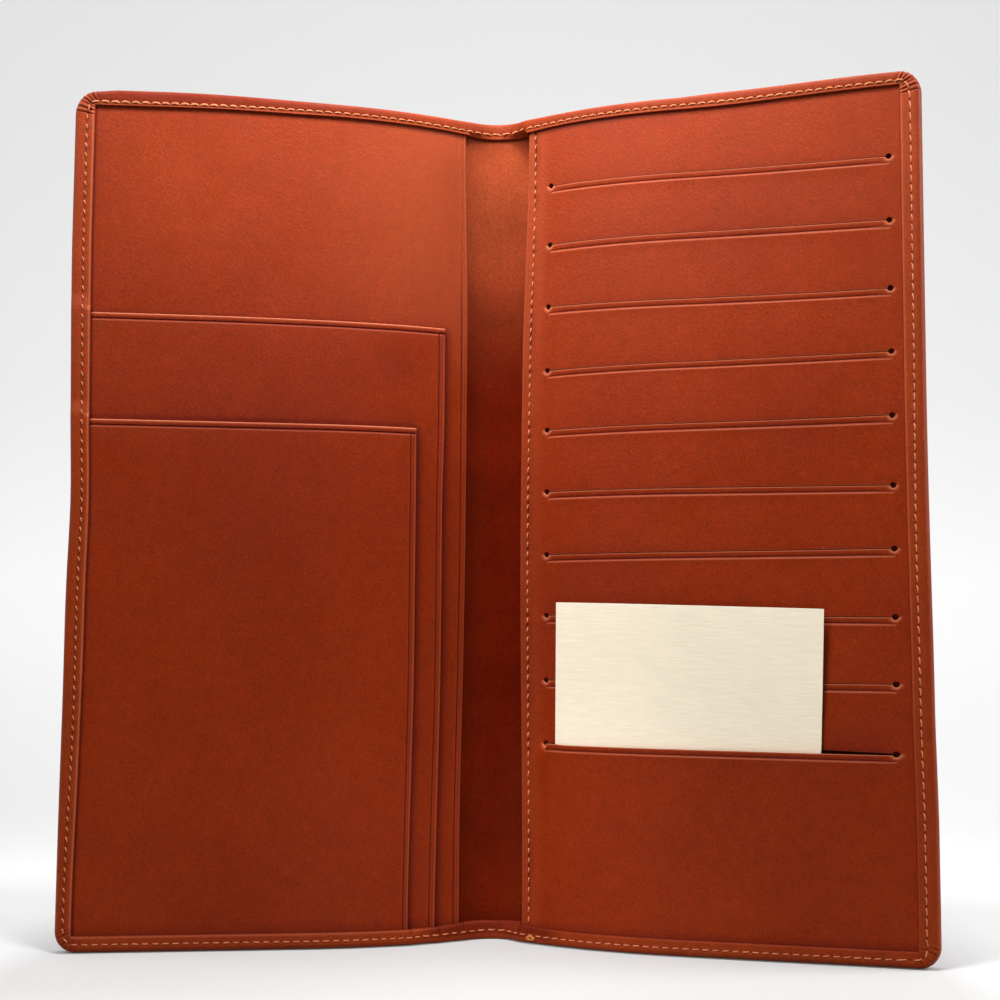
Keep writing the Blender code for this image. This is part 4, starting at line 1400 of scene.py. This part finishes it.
def hem_stitches(side, sizes):
    """Places of the stitches round a half's turned edge, on the front and on the outer face."""
    course = hem_course(side, sizes)
    run = stitch_run(course)
    line = course_place(course, course["stitch"])
    count = round(run[-1] / sizes.stitch_pitch)
    columns = (*line.T, course["soft"], *course["way"].T)
    hand = np.random.default_rng(5)
    places = []
    for i in range(count):
        middle = (i + 0.5) * run[-1] / count
        share, slant, bow = (np.interp(middle, run, look) for look in course["look"].T[:3])
        share, slant = share * hand.uniform(0.93, 1.05), slant + hand.uniform(-0.12, 0.12)
        ends = []
        for end in (-0.5, 0.5):
            far = (i + 0.5 + end * share) * run[-1] / count
            x, z, front, way_x, way_z = (np.interp(far, run, values) for values in columns)
            off = end * slant * MM
            ends.append((x + way_x * off, z + way_z * off, front))
        (x0, z0, f0), (x1, z1, f1) = ends
        way = (side * (x1 - x0), z1 - z0)
        middle = (side * (x0 + x1) / 2, (z0 + z1) / 2)
        bend = side * bow * MM
        places.append(((middle[0], -(f0 + f1) / 2 + 0.03 * MM, middle[1]), way, bend, 1))
        places.append(((middle[0], -0.03 * MM, middle[1]), way, bend, -1))
    return places


def seam_stitches(sizes):
    """Places of the short stitches down the card panel's edge."""
    x, pitch = CARD_EDGE + sizes.seam_inset, sizes.stitch_pitch
    places = []
    for i in range(1, int(HEIGHT / pitch)):
        z = (i + 0.5) * pitch
        if 3 * MM < z < HEIGHT - 3 * MM:
            way = (0.1 * pitch, 0.56 * pitch)
            places.append(((x, -PANEL_FRONT + 0.04 * MM, z), way, 0, 1))
    return places


def make_knot(name, material):
    """The sealed knot where the thread starts, at the foot beside the spine."""
    bpy.ops.object.select_all(action="DESELECT")
    bpy.ops.mesh.primitive_torus_add(
        major_segments=24,
        minor_segments=10,
        major_radius=0.6 * MM,
        minor_radius=0.34 * MM,
        rotation=(math.pi / 2, 0, 0),
    )
    obj = settled(name, (1.5, 0.62, 0.6))
    front = hem_fronts(1, np.array([10.5 * MM]), np.array([0.0]), "foot")[0]
    set_points(obj, points_of(obj) + np.array([11.2 * MM, -front - 0.15 * MM, 1.6 * MM]))
    return roll_up(obj, material, 80)


# Operators


class WalletStep:
    """What all the wallet's operators share"""

    bl_options = {"REGISTER", "UNDO"}


class WALLET_OT_materials(WalletStep, bpy.types.Operator):
    """Make the leather, suede, cloth, paper and thread materials"""

    bl_idname = "wallet.materials"
    bl_label = "Make the materials"

    def execute(self, context):
        colours = context.scene.wallet_colours
        leather_tone_effect()
        grain_effect()
        fibre_effect()
        leather_material("Calf pocket", colours.leather, 0.35, 0.75, 1900.0, 0.46)
        leather_material("Calf cover", colours.hem, 0.4, 0.7, 1500.0, 0.5)
        suede_material("Suede", colours.suede)
        cloth_material("Liner cloth", colours.cloth)
        paper_material("Laid paper", colours.paper)
        thread_material("Waxed thread", colours.thread)
        knot_material("Thread knot", colours.knot)
        return {"FINISHED"}


class WALLET_OT_cover(WalletStep, bpy.types.Operator):
    """Make both halves of the cover with their turned edges"""

    bl_idname = "wallet.cover"
    bl_label = "Add the cover"

    def execute(self, context):
        sizes, material = context.scene.wallet_sizes, bpy.data.materials["Calf cover"]
        for name, side, nodes in (
            ("calf_cover_left", -1, ("cover_left", "cover_spine")),
            ("calf_cover_right", 1, ("cover_right", "cover_spine")),
        ):
            cover = make_cover_half(name, side, sizes, material)
            bend_at_fold(cover)
            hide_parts(*nodes)
        return {"FINISHED"}


class WALLET_OT_lining(WalletStep, bpy.types.Operator):
    """Make both halves of the sueded lining"""

    bl_idname = "wallet.lining"
    bl_label = "Add the lining"

    def execute(self, context):
        for name, side, nodes in (
            ("suede_lining_left", -1, ("lining_left", "lining_spine")),
            ("suede_lining_right", 1, ("lining_right", "lining_spine")),
        ):
            lining = make_lining(name, side, bpy.data.materials["Suede"])
            bend_at_fold(lining)
            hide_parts(*nodes)
        return {"FINISHED"}


class WALLET_OT_pockets(WalletStep, bpy.types.Operator):
    """Make the bill panel, the ticket pocket and the passport pocket"""

    bl_idname = "wallet.pockets"
    bl_label = "Add the left pockets"

    def execute(self, context):
        sizes, material = context.scene.wallet_sizes, bpy.data.materials["Calf pocket"]
        ticket, passport = (TICKET_EDGE, TICKET_TOP), (PASSPORT_EDGE, PASSPORT_TOP)
        fade = HEIGHT - 24 * MM
        for name, free, front, fading, upper, node in (
            ("calf_bill_panel", (BILL_EDGE, None), BILL_FRONT, fade, (*ticket, 0.12), "bill_panel"),
            ("calf_ticket_pocket", ticket, TICKET_FRONT, None, (*passport, 0.5), "ticket_pocket"),
            ("calf_passport_pocket", passport, PASSPORT_FRONT, None, None, "passport_pocket"),
        ):
            pocket = make_pocket(name, *free, front, sizes, material, fading, upper)
            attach(pocket, "left_half")
            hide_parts(node)
        return {"FINISHED"}


class WALLET_OT_card_panel(WalletStep, bpy.types.Operator):
    """Make the card panel with its ten slits"""

    bl_idname = "wallet.card_panel"
    bl_label = "Add the card panel"

    def execute(self, context):
        sizes, material = context.scene.wallet_sizes, bpy.data.materials["Calf pocket"]
        panel = make_card_panel("calf_card_panel", sizes, material)
        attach(panel, "right_half")
        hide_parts("card_panel")
        return {"FINISHED"}


class WALLET_OT_liners(WalletStep, bpy.types.Operator):
    """Give the cloth liners behind the slits their cloth"""

    bl_idname = "wallet.liners"
    bl_label = "Dress the liners"

    def execute(self, context):
        for name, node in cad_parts.items():
            if name.startswith("card_liner") or name == "card_backing":
                finish(node, bpy.data.materials["Liner cloth"])
        return {"FINISHED"}


class WALLET_OT_card(WalletStep, bpy.types.Operator):
    """Make the bare paper card in the lowest slit"""

    bl_idname = "wallet.card"
    bl_label = "Add the card"

    def execute(self, context):
        card = make_card("laid_card", bpy.data.materials["Laid paper"])
        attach(card, "insert_card")
        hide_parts("insert_card")
        return {"FINISHED"}


class WALLET_OT_thread(WalletStep, bpy.types.Operator):
    """Sew the hems and the card panel's edge"""

    bl_idname = "wallet.thread"
    bl_label = "Add the stitching"

    def execute(self, context):
        sizes, thread = context.scene.wallet_sizes, bpy.data.materials["Waxed thread"]
        one = make_one_stitch(sizes.thread)
        for name, side in (("hem_thread_left", -1), ("hem_thread_right", 1)):
            bend_at_fold(sew(name, hem_stitches(side, sizes), one, thread))
        seam = sew("panel_seam_thread", seam_stitches(sizes), one, thread)
        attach(seam, "right_half")
        knot = make_knot("thread_knot", bpy.data.materials["Thread knot"])
        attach(knot, "right_half")
        bpy.data.objects.remove(one)
        return {"FINISHED"}


class WALLET_OT_stage(WalletStep, bpy.types.Operator):
    """Make the pale floor, the lamps, the world and the camera"""

    bl_idname = "wallet.stage"
    bl_label = "Add the stage"

    def execute(self, context):
        scene = context.scene
        floor = make_sweep("floor", stage_material("Floor", (0.4, 0.4, 0.398)))
        for name, (place, target, cone, power) in SPOTS.items():
            lamp = add_lamp(name, "SPOT", place, target, power)
            lamp.spot_size = math.radians(cone)
            lamp.spot_blend = 1.0
            lamp.shadow_soft_size = 0.03
        for name, (place, target, size, power) in BOXES.items():
            lamp = add_lamp(name, "AREA", place, target, power)
            lamp.shape = "RECTANGLE"
            lamp.size, lamp.size_y = size
        make_world(scene, 0.2)
        add_camera(scene)
        scene.view_settings.view_transform = "Standard"
        return {"FINISHED"}


def make_sweep(name, material):
    """A floor that curves up into the backdrop."""
    bpy.ops.object.select_all(action="DESELECT")
    bpy.ops.mesh.primitive_plane_add(size=1, location=(0, FLOOR_MIDDLE, 0))
    obj = settled(name, (*FLOOR_SIZE, 1))
    behind = FLOOR_MIDDLE + 0.49 * FLOOR_SIZE[1]
    edit(obj)
    pick(obj, "EDGE", lambda edge: all(vert.co.y > behind for vert in edge.verts))
    bpy.ops.mesh.extrude_region_move(TRANSFORM_OT_translate={"value": (0, 0, WALL_HEIGHT)})
    pick(obj, "EDGE", lambda edge: all(vert.co.y > behind and vert.co.z == 0 for vert in edge.verts))
    bpy.ops.mesh.bevel(offset=WALL_BEND, segments=24, affect="EDGES")
    leave()
    bpy.ops.object.shade_smooth_by_angle(angle=math.radians(60))
    return finish(obj, material)


def add_lamp(name, kind, place, target, power):
    """A lamp turned to its target."""
    bpy.ops.object.light_add(type=kind, location=place)
    lamp = named(name)
    lamp.rotation_mode = "QUATERNION"
    lamp.rotation_quaternion = (Vector(target) - lamp.location).to_track_quat("-Z", "Y")
    lamp.data.energy = power
    return lamp.data


def make_world(scene, strength):
    world = bpy.data.worlds.new("Studio")
    world.use_nodes = True
    tree = world.node_tree
    tree.nodes.clear()
    background = tree.nodes.new("ShaderNodeBackground")
    out = tree.nodes.new("ShaderNodeOutputWorld")
    background.inputs["Color"].default_value = (1, 1, 1, 1)
    background.inputs["Strength"].default_value = strength
    tree.links.new(background.outputs[0], out.inputs["Surface"])
    scene.world = world


def add_camera(scene):
    """The camera at the photograph's place, turned, raised and rolled as it was held."""
    yaw, pitch, roll = (math.radians(angle) for angle in CAMERA_TURN)
    forward = Vector((math.sin(yaw) * math.cos(pitch), math.cos(yaw) * math.cos(pitch), math.sin(pitch)))
    level = Vector((math.cos(yaw), -math.sin(yaw), 0))
    above = level.cross(forward)
    right = level * math.cos(roll) + above * math.sin(roll)
    up = above * math.cos(roll) - level * math.sin(roll)
    bpy.ops.object.camera_add(location=CAMERA_PLACE)
    camera = named("camera")
    turn = Matrix((right, up, -forward)).transposed()
    camera.rotation_euler = turn.to_euler()
    camera.data.sensor_width = 36
    camera.data.lens = CAMERA_LENS
    camera.data.clip_start = 0.01
    scene.camera = camera


class WALLET_PT_panel(bpy.types.Panel):
    """Lists the wallet's operators, sizes and colours"""

    bl_label = "Long bifold wallet"
    bl_idname = "WALLET_PT_panel"
    bl_space_type = "VIEW_3D"
    bl_region_type = "UI"
    bl_category = "Wallet"

    def draw(self, context):
        for operator in STEPS:
            self.layout.operator(operator.bl_idname)
        for group in (context.scene.wallet_sizes, context.scene.wallet_colours):
            box = self.layout.box()
            for name in group.__annotations__:
                box.prop(group, name)


STEPS = (
    WALLET_OT_materials,
    WALLET_OT_stage,
    WALLET_OT_cover,
    WALLET_OT_lining,
    WALLET_OT_pockets,
    WALLET_OT_card_panel,
    WALLET_OT_liners,
    WALLET_OT_card,
    WALLET_OT_thread,
)
CLASSES = (WalletSizes, WalletColours, *STEPS, WALLET_PT_panel)


def register():
    for cls in CLASSES:
        bpy.utils.register_class(cls)
    bpy.types.Scene.wallet_sizes = bpy.props.PointerProperty(type=WalletSizes)
    bpy.types.Scene.wallet_colours = bpy.props.PointerProperty(type=WalletColours)


def unregister():
    del bpy.types.Scene.wallet_sizes
    del bpy.types.Scene.wallet_colours
    for cls in reversed(CLASSES):
        bpy.utils.unregister_class(cls)


def main():
    register()
    for step in STEPS:
        group, name = step.bl_idname.split(".")
        getattr(getattr(bpy.ops, group), name)()


if __name__ == "__main__":
    main()
